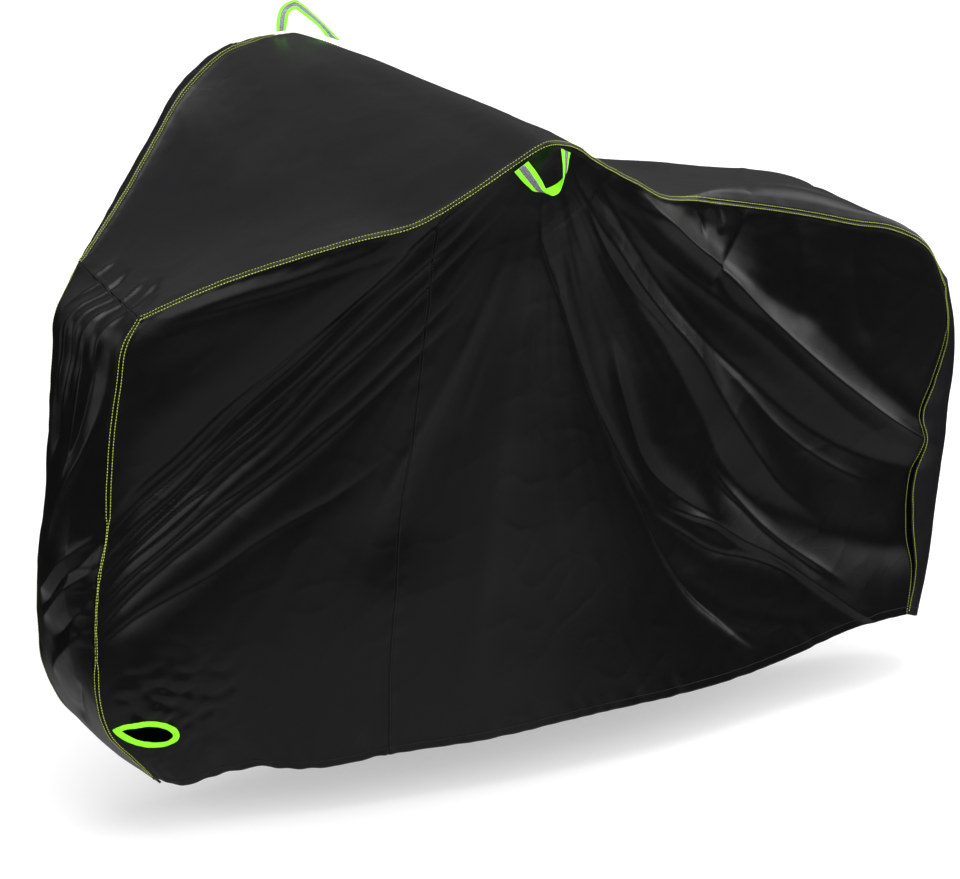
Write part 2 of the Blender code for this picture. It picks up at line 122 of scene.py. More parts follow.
# Mesh of the cloth: its spacing, and the closer rows beside a seam.
CLOTH_STEP = 0.0046
FINE_STEP = 0.0034
BESIDE_SEAM = np.array([1.3, 2.6, 3.8, 5.2, 7.4, 10.5]) / 1000
# The strip's crown is a power of the place across it, and the upright seams pull on a side by a power of the distance.
CROWN = 2.2
SEAM_PULL = 5
MIRROR = np.array([1, -1, 1])


def travelled_along(points):
    """Distance travelled along a line at each of its points."""
    return np.concatenate([[0], np.cumsum(np.linalg.norm(np.diff(points, axis=0), axis=1))])


def placed_along(points, at):
    """Places at those distances along a line of points."""
    travelled = travelled_along(points)
    return np.stack([np.interp(at, travelled, points[:, k]) for k in range(3)], axis=1)


def spread(length, seam_at_start, seam_at_end, step):
    """Fractions along a length of cloth, closer together beside its seams."""
    beside = BESIDE_SEAM / length
    start = np.concatenate([[0], beside]) if seam_at_start else np.array([0.0])
    end = np.concatenate([1 - beside[::-1], [1]]) if seam_at_end else np.array([1.0])
    count = int(round(length / step))
    return np.concatenate([start, np.linspace(start[-1], end[0], count)[1:-1], end])


def smooth_stations(rows, at):
    """Places at those fractions of a smooth curve through the rows, measured along their first three columns."""
    rows = np.array(rows, float)
    travelled = travelled_along(rows[:, :3])
    slope = np.gradient(rows, travelled, axis=0)
    wanted = np.asarray(at) * travelled[-1]
    row = np.clip(np.searchsorted(travelled, wanted, side="right") - 1, 0, len(rows) - 2)
    length = (travelled[row + 1] - travelled[row])[:, None]
    t = (wanted - travelled[row])[:, None] / length
    start = (2 * t**3 - 3 * t**2 + 1) * rows[row] + (t**3 - 2 * t**2 + t) * length * slope[row]
    end = (3 * t**2 - 2 * t**3) * rows[row + 1] + (t**3 - t**2) * length * slope[row + 1]
    return start + end


def cross_sections(stations, across):
    """Grid of the centre strip between its two seams, crowned to its middle line."""
    w = across[None, :, None]
    near = stations[:, None, 0:3] * MIRROR
    far = stations[:, None, 5:8]
    mean = (near + far) / 2
    middle = mean.copy()
    middle[:, 0, 0] = stations[:, 3]
    middle[:, 0, 2] = stations[:, 4]
    return near * (1 - w) + far * w + (middle - mean) * (1 - np.abs(2 * w - 1) ** CROWN)


def side_grid(top_seam, hem, front_seam, rear_seam, along, down):
    """Grid of a side stretched between its four edges. The upright seams draw it in only near themselves."""
    u = along[:, None, None]
    v = down[None, :, None]
    ruled = (1 - v) * top_seam[:, None] + v * hem[:, None]
    at_front = (1 - u) ** SEAM_PULL * (front_seam[None] - ruled[:1])
    at_rear = u**SEAM_PULL * (rear_seam[None] - ruled[-1:])
    return ruled + at_front + at_rear


# Lengths that the meshes are spaced for, and the upright seam's place along the top seam.
TOP_SEAM_LENGTH = 1.98
SIDE_DEPTH = 0.95
STRIP_WIDTH = 0.36
UPRIGHT_SEAM = 12 / 46

before_upright = spread(TOP_SEAM_LENGTH * UPRIGHT_SEAM, True, True, FINE_STEP) * UPRIGHT_SEAM
after_upright = spread(TOP_SEAM_LENGTH * (1 - UPRIGHT_SEAM), True, True, CLOTH_STEP) * (1 - UPRIGHT_SEAM)
after_upright += UPRIGHT_SEAM
along = np.concatenate([before_upright, after_upright[1:]])
upright_column = len(before_upright) - 1
down = spread(SIDE_DEPTH, True, False, FINE_STEP)
across = spread(STRIP_WIDTH, True, True, CLOTH_STEP)

over_top = smooth_stations(TOP[: REAR_TURN + 1], along)
down_back = smooth_stations(TOP[REAR_TURN:], down)
below_brow = [row + row[:3] for row in FRONT]
hem = smooth_stations(HEM, along)
turn = len(along) - 1
hanging = {}
hanging["top"] = cross_sections(np.concatenate([over_top, down_back[1:]]), across)
hanging["front"] = cross_sections(smooth_stations(TOP[:1] + below_brow, down), across)
for name, edge, mirror in (("near", 0, MIRROR), ("far", -1, 1)):
    strip, front = hanging["top"][:, edge], hanging["front"][:, edge]
    hanging[name] = side_grid(strip[: turn + 1], hem * mirror, front, strip[turn:], along, down)

# Between the brow and the bar the far side's cloth reaches over the edge onto the top, so its seam lies in from the
# edge: x, and how far in.
FAR_SEAM_INSET = [(-0.60, 0.0), (-0.53, 0.008), (-0.42, 0.022), (-0.25, 0.024), (-0.12, 0.012), (-0.02, 0.0)]
INSET_POINTS = 9
for row in range(turn + 1):
    strip, side = hanging["top"][row].copy(), hanging["far"][row].copy()
    inset = float(np.interp(strip[-1, 0], *np.array(FAR_SEAM_INSET).T))
    if inset > 0:
        length = travelled_along(strip)[-1]
        hanging["top"][row] = placed_along(strip, across * (length - inset))
        beyond = placed_along(strip, np.linspace(length - inset, length, INSET_POINTS))
        line = np.concatenate([beyond[:-1], side])
        part = travelled_along(side) / travelled_along(side)[-1]
        hanging["far"][row] = placed_along(line, part * travelled_along(line)[-1])

# 1 where a grid's faces look outwards as they are built, and -1 where they have to be turned.
OUTWARD = {"top": -1, "front": 1, "near": 1, "far": -1}


def edge_places(grid):
    """The indices of a grid's outermost points."""
    rows, columns = grid.shape[:2]
    ends = [(i, j) for i in (0, rows - 1) for j in range(columns)]
    return ends + [(i, j) for i in range(1, rows - 1) for j in (0, columns - 1)]


def shared_normals(grids):
    """Outward normals at all points. Points that two cloths share have one normal."""
    normals = {}
    at_edges = {}
    for name, grid in grids.items():
        cell = np.cross(grid[1:, 1:] - grid[:-1, :-1], grid[1:, :-1] - grid[:-1, 1:]) * OUTWARD[name]
        cell /= np.linalg.norm(cell, axis=-1, keepdims=True) + 1e-12
        total = np.zeros_like(grid)
        for di in (0, 1):
            for dj in (0, 1):
                total[di : di + cell.shape[0], dj : dj + cell.shape[1]] += cell
        normals[name] = total
        for place in edge_places(grid):
            key = tuple(np.round(grid[place], 6))
            at_edges[key] = at_edges.get(key, 0) + total[place]
    for name, grid in grids.items():
        for place in edge_places(grid):
            normals[name][place] = at_edges[tuple(np.round(grid[place], 6))]
        normals[name] /= np.linalg.norm(normals[name], axis=-1, keepdims=True)
    return normals


# Folds that the bar ends and the saddle pull in a side, in millimetres. Each runs through places in the side view. It
# has a width above and below its line, the roundness of its crest, and its rise out of the cloth, which is below zero
# for a trough. Widths and rise both grow along the fold, from START_GROWTH to END_GROWTH times these.
# places (x, height), width above, width below, crest, rise
NEAR_FOLDS = [
    # Bundle from the near bar end down to the front seam: a broad valley, its deepest line, and the finer pleats.
    ([(-70, 1170), (-120, 1120), (-189, 1052), (-257, 977), (-327, 906), (-394, 835), (-464, 765), (-521, 701),
      (-578, 647), (-640, 590), (-880, 400)], 20, 125, 8, -30),
    ([(-60, 1150), (-100, 1107), (-125, 1070), (-180, 1012), (-237, 956), (-295, 890), (-347, 828), (-408, 764),
      (-480, 690), (-525, 640), (-575, 593), (-627, 550), (-860, 350)], 4, 22, 2, -10),
    ([(-337, 820), (-375, 782), (-407, 741), (-445, 706), (-488, 663), (-531, 619), (-576, 575), (-615, 538),
      (-840, 340)], 3, 11, 1.5, -5),
    ([(-60, 1100), (-150, 998), (-204, 936), (-261, 872), (-314, 816), (-370, 744), (-426, 693), (-474, 645),
      (-518, 611), (-562, 570), (-840, 320)], 4, 14, 1.5, -7.5),
    ([(-350, 755), (-398, 705), (-435, 671), (-474, 631), (-509, 596), (-555, 555), (-606, 513),
      (-840, 310)], 4, 12, 2, -5.5),
    ([(-90, 1000), (-150, 925), (-227, 834), (-275, 780), (-322, 738), (-364, 692), (-411, 649), (-475, 600),
      (-518, 562), (-561, 523), (-615, 477), (-820, 305)], 4, 15, 2, -6.5),
    ([(-100, 930), (-170, 860), (-240, 781), (-293, 726), (-335, 687), (-388, 640), (-437, 600), (-486, 555),
      (-538, 514), (-590, 466), (-800, 290)], 5, 22, 2, -8),
    ([(-200, 675), (-283, 614), (-343, 579), (-403, 538), (-464, 492), (-545, 447), (-760, 310)], 6, 24, 3, -6),
    ([(-240, 1010), (-337, 884), (-398, 819), (-445, 767), (-488, 715), (-540, 661), (-607, 601),
      (-840, 400)], 3, 14, 1.5, -6),
    # Lip below the top seam, and the slack pocket under it.
    ([(-150, 1092), (-189, 1061), (-245, 1032), (-303, 1009), (-359, 987), (-431, 962), (-500, 937),
      (-560, 918)], 9, 10, 3, -3),
    ([(-200, 1075), (-270, 1035), (-359, 1000), (-431, 975), (-500, 950), (-600, 915)], 16, 110, 12, 8),
    ([(-330, 960), (-400, 905), (-470, 850), (-540, 800), (-610, 740)], 90, 40, 30, 3),
    # Broad hollow below the bar end.
    ([(-6, 1003), (-48, 892), (-84, 787), (-122, 681), (-163, 559), (-214, 420)], 60, 70, 30, -12),
    ([(-30, 1080), (-60, 960), (-105, 830), (-160, 690), (-220, 560)], 10, 16, 4, 4),
    ([(-12, 1090), (-22, 980), (-50, 850), (-85, 700)], 10, 14, 4, 3),
    # First ridge back from the bar end, with the troughs on either side of it.
    ([(50, 1185), (130, 1086), (217, 1000), (318, 900), (400, 827), (480, 757), (552, 672), (617, 590), (665, 530),
      (727, 460), (800, 400), (890, 330)], 28, 46, 6, 20),
    ([(110, 1110), (190, 1012), (290, 908), (380, 830), (450, 765)], 3, 4, 1.5, -3),
    ([(100, 1100), (147, 1067), (200, 1014), (258, 940), (320, 867), (390, 796), (457, 715), (520, 628), (580, 542),
      (636, 470), (709, 400), (805, 328)], 16, 44, 7, -8),
    ([(110, 1160), (166, 1115), (241, 1031), (356, 915), (463, 811), (552, 739), (657, 661), (770, 575), (854, 522),
      (956, 472), (1090, 424), (1200, 385)], 26, 26, 7, -10),
    ([(240, 1060), (301, 1000), (437, 904), (565, 823), (664, 753), (768, 668), (898, 565),
      (1035, 474)], 12, 16, 5, 4),
    ([(510, 770), (623, 666), (728, 566), (818, 499), (908, 447), (1000, 410)], 8, 12, 3, 4),
    # Second ridge, sharp, back to the rear seam. Above it the cloth falls back to the drape below the saddle.
    ([(215, 1128), (293, 1080), (372, 1012), (433, 969), (500, 923), (563, 880), (629, 825), (675, 787), (762, 716),
      (840, 654), (918, 600), (1000, 542), (1060, 505), (1200, 430)], 32, 52, 4, 16),
    ([(300, 1072), (433, 969), (563, 880), (675, 787), (840, 654), (1000, 542), (1200, 430)], 3, 4, 1, 2.5),
    ([(330, 1090), (361, 1060), (465, 985), (562, 912), (685, 822), (809, 748), (887, 680), (970, 612), (1075, 535),
      (1200, 470)], 130, 40, 12, -10),
    ([(520, 560), (700, 440), (860, 350), (1000, 300), (1200, 250)], 120, 50, 30, -24),
    # Slack at the front of the saddle.
    ([(650, 1030), (622, 985), (602, 945), (560, 890), (520, 860)], 5, 40, 2, -9),
    ([(340, 1038), (400, 992), (460, 950), (530, 902), (600, 848), (680, 783)], 80, 14, 5, 12),
    ([(470, 1020), (500, 985), (510, 950)], 4, 5, 2, -3),
    ([(545, 1010), (560, 975), (556, 945)], 4, 5, 2, 3),
    ([(740, 960), (760, 880), (770, 800), (800, 730)], 24, 20, 8, -5),
    ([(860, 920), (880, 840), (900, 760), (950, 680)], 24, 20, 8, 5),
    # Deep valley from the bar end to the hem, doubled at its middle, with a pocket beside it.
    ([(10, 1120), (21, 1048), (46, 1010), (100, 930), (180, 800), (250, 685), (301, 597), (351, 518), (392, 454),
      (444, 378), (524, 285), (592, 227), (654, 176), (720, 130)], 110, 4, 2, -16),
    ([(70, 995), (150, 846), (205, 752), (268, 665), (332, 575), (390, 497), (420, 450)], 6, 4, 1.5, -6),
    ([(250, 830), (299, 734), (323, 684), (342, 645), (370, 590), (411, 540), (456, 503), (540, 445),
      (640, 370)], 14, 40, 4, -13),
    ([(440, 478), (502, 447), (578, 412), (634, 372), (711, 329), (794, 273), (873, 218), (952, 163),
      (1050, 110)], 60, 4, 2, 11),
    ([(405, 470), (504, 406), (572, 363), (662, 331), (753, 290), (840, 235)], 5, 14, 2, -4),
    ([(460, 380), (560, 280), (650, 225), (740, 195), (860, 165), (960, 140)], 70, 60, 12, -9),
    ([(540, 550), (567, 517), (631, 448), (678, 401), (738, 350), (842, 280), (930, 220)], 8, 8, 2, 5),
    ([(560, 510), (576, 489), (646, 425), (701, 373), (765, 324), (874, 239)], 7, 10, 2, -4),
]
FAR_FOLDS = [
    ([(-70, 1180), (-150, 1085), (-260, 940), (-370, 820), (-480, 715), (-655, 570)], 13, 12, 4, -20),
    ([(-90, 1170), (-200, 1060), (-300, 930), (-420, 800), (-540, 690), (-655, 600)], 24, 10, 4, 14),
    ([(-60, 1120), (-160, 980), (-280, 830), (-420, 690), (-560, 580), (-660, 510)], 10, 24, 4, 14),
    ([(-150, 930), (-270, 780), (-400, 650), (-520, 560), (-660, 470)], 8, 14, 3, -10),
    ([(-190, 820), (-300, 700), (-430, 590), (-540, 510), (-660, 430)], 8, 14, 3, -8),
    ([(-190, 1160), (-300, 1080), (-390, 990), (-490, 920), (-590, 860)], 26, 20, 8, -13),
    ([(-330, 600), (-430, 520), (-530, 440), (-650, 380)], 20, 30, 6, -12),
    ([(20, 1060), (-20, 910), (-60, 760), (-110, 590), (-170, 420)], 60, 70, 30, -14),
    ([(50, 1190), (130, 1100), (240, 990), (350, 880), (460, 770), (570, 660), (680, 540), (800, 410),
      (930, 290)], 17, 44, 6, 28),
    ([(140, 1120), (270, 1000), (400, 890), (530, 780), (660, 660), (790, 540), (980, 420)], 30, 16, 6, -19),
    ([(240, 1110), (340, 1040), (480, 950), (620, 850), (750, 750), (880, 660), (1085, 550)], 15, 40, 5, 23),
    ([(585, 950), (700, 880), (830, 780), (980, 650)], 70, 50, 20, -12),
    ([(450, 720), (560, 630), (680, 540), (820, 470), (960, 400)], 16, 24, 5, -12),
    ([(15, 1130), (60, 1010), (130, 870), (210, 730), (300, 590), (390, 450), (490, 320),
      (620, 200)], 17, 60, 4, -25),
    ([(250, 800), (350, 660), (460, 530), (590, 420), (720, 320)], 14, 20, 4, 9),
    ([(300, 660), (380, 540), (480, 440), (610, 350), (760, 250)], 12, 22, 4, -13),
]
# Folds of the strip's front end, with y in place of x.
FRONT_FOLDS = [
    ([(22, 1010), (20, 910), (24, 830), (32, 750)], 6, 6, 2, 6),
    ([(-12, 1010), (-10, 910), (3, 810), (28, 700)], 6, 6, 2, 6),
    ([(-48, 1010), (-43, 910), (-30, 840), (-12, 770)], 5, 6, 2, 6),
    ([(-82, 1010), (-78, 900), (-60, 810)], 5, 6, 2, 6),
    ([(62, 1010), (60, 910), (70, 800)], 6, 6, 2, 5),
    ([(-50, 915), (-44, 850), (-38, 781), (-26, 690), (0, 600)], 9, 12, 3, 7),
    ([(-106, 905), (-96, 789), (-65, 705), (-30, 634), (35, 505)], 9, 12, 3, 9),
    ([(-74, 890), (-60, 800), (-40, 720), (-5, 640)], 9, 9, 3, -7),
    ([(0, 910), (4, 830), (20, 740), (45, 640)], 9, 12, 3, -6),
    ([(50, 910), (45, 820), (55, 720), (85, 600)], 10, 12, 3, 6),
    ([(-112, 590), (-74, 545), (-30, 505), (20, 455), (80, 410)], 8, 10, 3, 8),
    ([(-112, 560), (-74, 518), (-30, 478), (20, 430), (80, 385)], 8, 10, 3, -8),
    ([(-112, 530), (-77, 492), (-30, 452), (17, 408), (70, 370)], 8, 10, 3, 8),
    ([(-112, 480), (-66, 426), (-20, 385), (30, 348)], 9, 12, 3, -7),
    ([(-100, 420), (-50, 370), (10, 320), (60, 270)], 10, 14, 4, 6),
    ([(-60, 300), (-20, 250), (30, 190)], 10, 14, 4, -6),
]
# Soft folds of the strip's top, seen from above, with y in place of height.
TOP_FOLDS = [
    ([(0, -330), (-120, -250), (-260, -180), (-400, -110), (-520, -70)], 40, 40, 20, 3),
    ([(-10, -150), (-140, -80), (-280, -20), (-420, 10)], 60, 60, 30, -3),
    ([(0, 300), (-120, 200), (-260, 110), (-400, 60)], 40, 50, 20, 3),
    ([(50, -320), (150, -220), (280, -120), (420, -60), (540, -40)], 24, 30, 8, 9),
    ([(50, 320), (150, 220), (280, 120), (420, 60), (540, 40)], 30, 24, 8, 9),
    ([(60, 0), (200, 10), (340, 0), (480, 0)], 60, 60, 30, -12),
    # Small gathers at the brow.
    ([(-640, -120), (-585, -110), (-545, -100), (-505, -80)], 5, 5, 2, 6),
    ([(-640, -85), (-585, -75), (-540, -66), (-490, -50)], 5, 5, 2, -6),
    ([(-640, -45), (-585, -40), (-545, -35), (-505, -20)], 5, 5, 2, 6),
    ([(-640, 30), (-585, 30), (-545, 30), (-505, 35)], 5, 5, 2, -6),
    ([(-640, 75), (-585, 80), (-545, 85), (-500, 85)], 5, 5, 2, 6),
    # Slack over the saddle.
    ([(560, -90), (680, -80), (800, -85), (900, -90)], 8, 18, 4, -6),
    ([(560, 90), (680, 80), (800, 85), (900, 90)], 18, 8, 4, -6),
    ([(640, -60), (700, 0), (740, 60)], 10, 12, 4, 3),
    ([(830, -70), (860, 0), (880, 70)], 10, 12, 4, -4),
]
PATH_STEPS = 32
START_GROWTH, END_GROWTH = 0.65, 1.2
# A fold comes in over this part of its path, from a little above nothing, and goes out over this one.
FADE_IN, FADE_START, FADE_OUT = 0.22, 0.15, 0.25
# A fold is followed out to this many times its greatest width.
FOLD_REACH = 5


def smooth_step(part):
    """0 below 0, 1 above 1, and a soft rise between them."""
    part = np.clip(part, 0, 1)
    return part * part * (3 - 2 * part)


def fold_rise(places, folds):
    """How far the folds lift each place, given by two coordinates, out of the cloth, in metres."""
    flat = places.reshape(-1, 2)
    rise = np.zeros(len(flat))
    for points, *sizes in folds:
        path = smooth_stations(np.array(points) / 1000, np.linspace(0, 1, PATH_STEPS + 1))
        wide_above, wide_below, crest, height = np.array(sizes) / 1000
        reach = FOLD_REACH * max(wide_above, wide_below, crest)
        inside = np.all((flat > path.min(axis=0) - reach) & (flat < path.max(axis=0) + reach), axis=1)
        spots = flat[inside]
        nearest = np.full(len(spots), np.inf)
        above = np.zeros(len(spots))
        travelled = np.zeros(len(spots))
        for step in range(PATH_STEPS):
            run = path[step + 1] - path[step]
            part = np.clip((spots - path[step]) @ run / (run @ run), 0, 1)
            off = spots - path[step] - part[:, None] * run
            distance = np.hypot(off[:, 0], off[:, 1])
            closer = distance < nearest
            up = np.array([-run[1], run[0]]) * (1 if run[0] > 0 else -1)
            nearest[closer] = distance[closer]
            above[closer] = (off @ up)[closer] > 0
            travelled[closer] = ((step + part) / PATH_STEPS)[closer]
        growth = START_GROWTH + (END_GROWTH - START_GROWTH) * travelled
        width = growth * (wide_below + (wide_above - wide_below) * above)
        rounded = np.sqrt(nearest**2 + crest**2) - crest
        fade = smooth_step(np.minimum(FADE_START + travelled / FADE_IN, (1 - travelled) / FADE_OUT))
        rise[inside] += height * growth * fade * np.exp(-rounded / width)
    return rise.reshape(places.shape[:-1])


# A fold that stands out of the near side is seen from the camera a little back and down from where it starts. The
# near folds were placed as seen, so each is looked up where it shows. This is the shift for each metre of rise.
SEEN_SHIFT = np.array([0.52, -0.288])


def near_rise(side_view):
    """How far the near folds lift each place of a side view."""
    first = fold_rise(side_view, NEAR_FOLDS)
    return fold_rise(side_view + first[..., None] * SEEN_SHIFT, NEAR_FOLDS)


def rumple(places, offset):
    """Smooth random heights between about -1 and 1 that vary over one unit. Another offset gives other heights."""
    flat = places.reshape(-1, places.shape[-1])
    if flat.shape[1] == 2:
        flat = np.concatenate([flat, np.full((len(flat), 1), offset)], axis=1)
    else:
        flat = flat + offset
    return np.array([noise.noise(place) for place in flat.tolist()]).reshape(places.shape[:-1])


def nearness(distance, reach):
    """1 at a line or spot, and close to 0 at twice the reach from it."""
    return np.exp(-((distance / reach) ** 2))


def distance_from(grid, column_axis, index):
    """Distance of each point from one edge of its grid, along the cloth."""
    steps = np.linalg.norm(np.diff(grid, axis=column_axis), axis=-1)
    shape = list(steps.shape)
    shape[column_axis] = 1
    travelled = np.concatenate([np.zeros(shape), np.cumsum(steps, axis=column_axis)], axis=column_axis)
    return travelled if index == 0 else travelled.max(axis=column_axis, keepdims=True) - travelled


# Across a seam: how deep and wide the joint sinks, and how high, where and how wide its two flanks stand. Along it: the
# puckers' rise and reach, and their length and width.
JOINT_DEPTH, JOINT_WIDTH = 0.0012, 0.0016
FLANK_RISE, FLANK_PLACE, FLANK_WIDTH = 0.0009, 0.0065, 0.004
PUCKER_RISE, PUCKER_REACH, PUCKER_LENGTH, PUCKER_WIDTH = 0.0011, 0.022, 0.024, 0.060


def seam_relief(distance, along_seam, offset):
    """A sewn seam: the joint sinks between its two stitched flanks, which pucker."""
    flanks = FLANK_RISE * nearness(distance - FLANK_PLACE, FLANK_WIDTH)
    where = np.stack([along_seam / PUCKER_LENGTH, distance / PUCKER_WIDTH], axis=-1)
    puckered = PUCKER_RISE * nearness(distance, PUCKER_REACH) * rumple(where, offset)
    return flanks - JOINT_DEPTH * nearness(distance, JOINT_WIDTH) + puckered


# Slight creases left by the packing: their rise, and how narrow they are.
CREASE_RISE, CREASE_NARROWNESS = 0.0004, 2.2
# The gathers of the hem's elastic reach this far up the cloth.
GATHER_LENGTH = 0.16


def slight_creases(places, spacing, offset):
    """Rise of the thin creases that lie where random heights cross zero."""
    line = 1 - np.abs(rumple(places / spacing, offset)) * CREASE_NARROWNESS
    return CREASE_RISE * np.clip(line, 0, 1) ** 3


def gathers(along_hem, from_hem, spacing, offset):
    """Random heights that are close together along the hem and long across it."""
    return rumple(np.stack([along_hem / spacing, from_hem / GATHER_LENGTH], axis=-1), offset)


BAR_END = np.array([-0.003, 1.217])
# Pleats of the fan from a bar end: rise, how many to a radian, and how often they change on the way out. The fan comes
# in between the first two of these distances and goes out between the last two.
FAN, FINE_FAN = (0.0036, 6, 2.0), (0.0008, 26, 2.2)
FAN_START, FAN_FULL, FAN_LOW, FAN_END = 0.05, 0.30, 0.75, 1.25
# Slack of a side, its length, and the spacing of the slight creases.
SIDE_SLACK, SIDE_SLACK_LENGTH, SIDE_CREASES = 0.0035, 0.210, 0.085
LOCK_CENTRE = np.array([-0.553, 0.206])
# Crumples round a spot up and back from the middle of the lock opening: rise, reach and how much less they reach in
# height, then the spacings of the large and the small, and the share of the small.
CRUMPLED = LOCK_CENTRE + 0.03
CRUMPLE_RISE, CRUMPLE_REACH, CRUMPLE_STRETCH = 0.0052, 0.105, 1.2
LARGE_CRUMPLES, SMALL_CRUMPLES, SMALL_SHARE = 0.046, 0.020, 0.6
# Gathers of a side's hem: spacing, rise and reach, and what is added to the last two towards the front.
SIDE_GATHERS, GATHER_RISE, GATHER_REACH = 0.030, 0.0030, 0.035
FRONT_RISE, FRONT_REACH, FRONT_PART = 0.0050, 0.05, 0.55


def side_details(grid, offset):
    """Small creases of a side: a fan from the bar end, slack, crumples at the lock opening, and gathers at the hem."""
    view = grid[..., [0, 2]]
    from_bar = view - BAR_END
    reach = np.hypot(from_bar[..., 0], from_bar[..., 1])
    angle = np.arctan2(from_bar[..., 1], from_bar[..., 0])
    middle = np.clip((reach - FAN_START) / (FAN_FULL - FAN_START), 0, 1)
    middle *= np.clip((FAN_END - reach) / (FAN_END - FAN_LOW), 0, 1)
    rise = SIDE_SLACK * rumple(view / SIDE_SLACK_LENGTH, offset + 3)
    rise += slight_creases(view, SIDE_CREASES, offset + 11)
    for (fan_rise, to_a_radian, changes), shift in ((FAN, 0), (FINE_FAN, 7)):
        where = np.stack([angle * to_a_radian, np.log(reach + FAN_START) * changes], axis=-1)
        rise += middle * fan_rise * rumple(where, offset + shift)
    from_opening = np.hypot(*np.moveaxis((view - CRUMPLED) * (1, CRUMPLE_STRETCH), -1, 0))
    crumple = 2 * np.abs(rumple(view / LARGE_CRUMPLES, offset + 21)) - SMALL_SHARE
    crumple += SMALL_SHARE * rumple(view / SMALL_CRUMPLES, offset + 23)
    rise += CRUMPLE_RISE * nearness(from_opening, CRUMPLE_REACH) * crumple
    from_hem = distance_from(grid, 1, -1)
    along_hem = distance_from(grid, 0, 0)
    to_front = np.clip(1 - along_hem / FRONT_PART, 0, 1)
    gathered = nearness(from_hem, GATHER_REACH + FRONT_REACH * to_front)
    gathered *= gathers(along_hem, from_hem, SIDE_GATHERS, offset + 31)
    return rise + (GATHER_RISE + FRONT_RISE * to_front) * gathered


STRIP_SLACK, STRIP_SLACK_LENGTH, STRIP_CREASES = 0.0030, 0.190, 0.080
STRIP_GATHERS, STRIP_GATHER_RISE, STRIP_GATHER_REACH = 0.026, 0.0045, 0.045


def strip_details(grid, offset):
    """Slack and slight creases of the strip, and the gathers of its hems."""
    rise = STRIP_SLACK * rumple(grid / STRIP_SLACK_LENGTH, offset) + slight_creases(grid, STRIP_CREASES, offset + 5)
    from_hem = distance_from(grid, 0, -1)
    gathered = gathers(distance_from(grid, 1, 0), from_hem, STRIP_GATHERS, offset + 9)
    return rise + STRIP_GATHER_RISE * nearness(from_hem, STRIP_GATHER_REACH) * gathered


normals = shared_normals(hanging)
# A seam holds the cloth flat beside it: how much of the folds it takes away, and how far it reaches.
FRONT_SEAM_HOLD, FRONT_SEAM_REACH = 0.85, 0.046
TOP_SEAM_HOLD, TOP_SEAM_REACH = 0.8, 0.020
# The sides' folds run on into this part of the strip's width.
EDGE_REACH = 0.3
# The folds of the strip's top come in between these heights.
TOP_FOLDS_FROM, TOP_FOLDS_FULL = 0.80, 0.90
# Over the saddle the strip turns down a little above its seams, so that they lie on the side: by how much, from where
# it comes in along the cover and up it, and at what distances from a seam it is full and dies out.
SADDLE_TURN = 0.018
SADDLE_FROM, SADDLE_LENGTH = 0.40, 0.20
SADDLE_HEIGHT, SADDLE_RANGE = 0.84, 0.10
TURN_WIDTH, TURN_END, TURN_FADE = 0.009, 0.014, 0.090
near_edge = np.clip(1 - across / EDGE_REACH, 0, 1)[None, :]
far_edge = near_edge[:, ::-1]
strip_middle = (1 - near_edge) * (1 - far_edge)
folded = {}
for name, grid in hanging.items():
    side_view = grid[..., [0, 2]]
    if name == "near":
        rise = near_rise(side_view)
    elif name == "far":
        rise = fold_rise(side_view, FAR_FOLDS)
    else:
        rise = near_edge * near_rise(side_view) + far_edge * fold_rise(side_view, FAR_FOLDS)
    # The sewn front seams and the brow joint hold the cloth flatter.
    to_front_seam = distance_from(grid, 0, 0)
    if name == "front":
        to_front_seam = np.minimum.reduce([to_front_seam, distance_from(grid, 1, 0), distance_from(grid, 1, -1)])
    held = FRONT_SEAM_HOLD * nearness(to_front_seam, FRONT_SEAM_REACH)
    if name != "front":
        to_seam = distance_from(grid, 1, 0)
        if name == "top":
            to_seam = np.minimum(to_seam, distance_from(grid, 1, -1))
        held = np.maximum(held, TOP_SEAM_HOLD * nearness(to_seam, TOP_SEAM_REACH))
    rise *= 1 - held
    if name == "front":
        rise += strip_middle * fold_rise(grid[..., [1, 2]], FRONT_FOLDS)
    if name == "top":
        on_top = np.clip((grid[..., 2] - TOP_FOLDS_FROM) / (TOP_FOLDS_FULL - TOP_FOLDS_FROM), 0, 1)
        rise += on_top * strip_middle * fold_rise(grid[..., [0, 1]], TOP_FOLDS)
    folded[name] = grid + rise[..., None] * normals[name]
    if name == "top":
        over_saddle = smooth_step((grid[..., 0] - SADDLE_FROM) / SADDLE_LENGTH)
        over_saddle *= smooth_step((grid[..., 2] - SADDLE_HEIGHT) / SADDLE_RANGE)
        turned = smooth_step(to_seam / TURN_WIDTH) * (1 - smooth_step((to_seam - TURN_END) / TURN_FADE))
        folded[name][..., 2] += SADDLE_TURN * over_saddle * turned

# Slack and creases die out towards the shared edges, so that the cloths still meet there. The upright seams are drawn
# less deep. The offsets give each cloth, and each kind of seam, its own random heights.
DETAILS_FADE = 0.030
UPRIGHT_SHARE = 0.8
CLOTH_OFFSET, SEAM_OFFSET, UPRIGHT_OFFSET = 40, 3.7, 8.1
normals = shared_normals(folded)
for number, (name, grid) in enumerate(folded.items()):
    edges = [distance_from(grid, 1, 0), distance_from(grid, 1, -1), distance_from(grid, 0, 0)]
    if name in ("near", "far"):
        edges[1] = distance_from(grid, 0, -1)
        details = side_details(grid, CLOTH_OFFSET * number)
    else:
        details = strip_details(grid, CLOTH_OFFSET * number)
    rise = details * (1 - nearness(np.minimum.reduce(edges), DETAILS_FADE))
    along_seam = distance_from(grid, 0, 0) + distance_from(grid, 1, 0)
    for edge in edges:
        rise += seam_relief(edge, along_seam, SEAM_OFFSET)
    folded[name] = grid + rise[..., None] * normals[name]
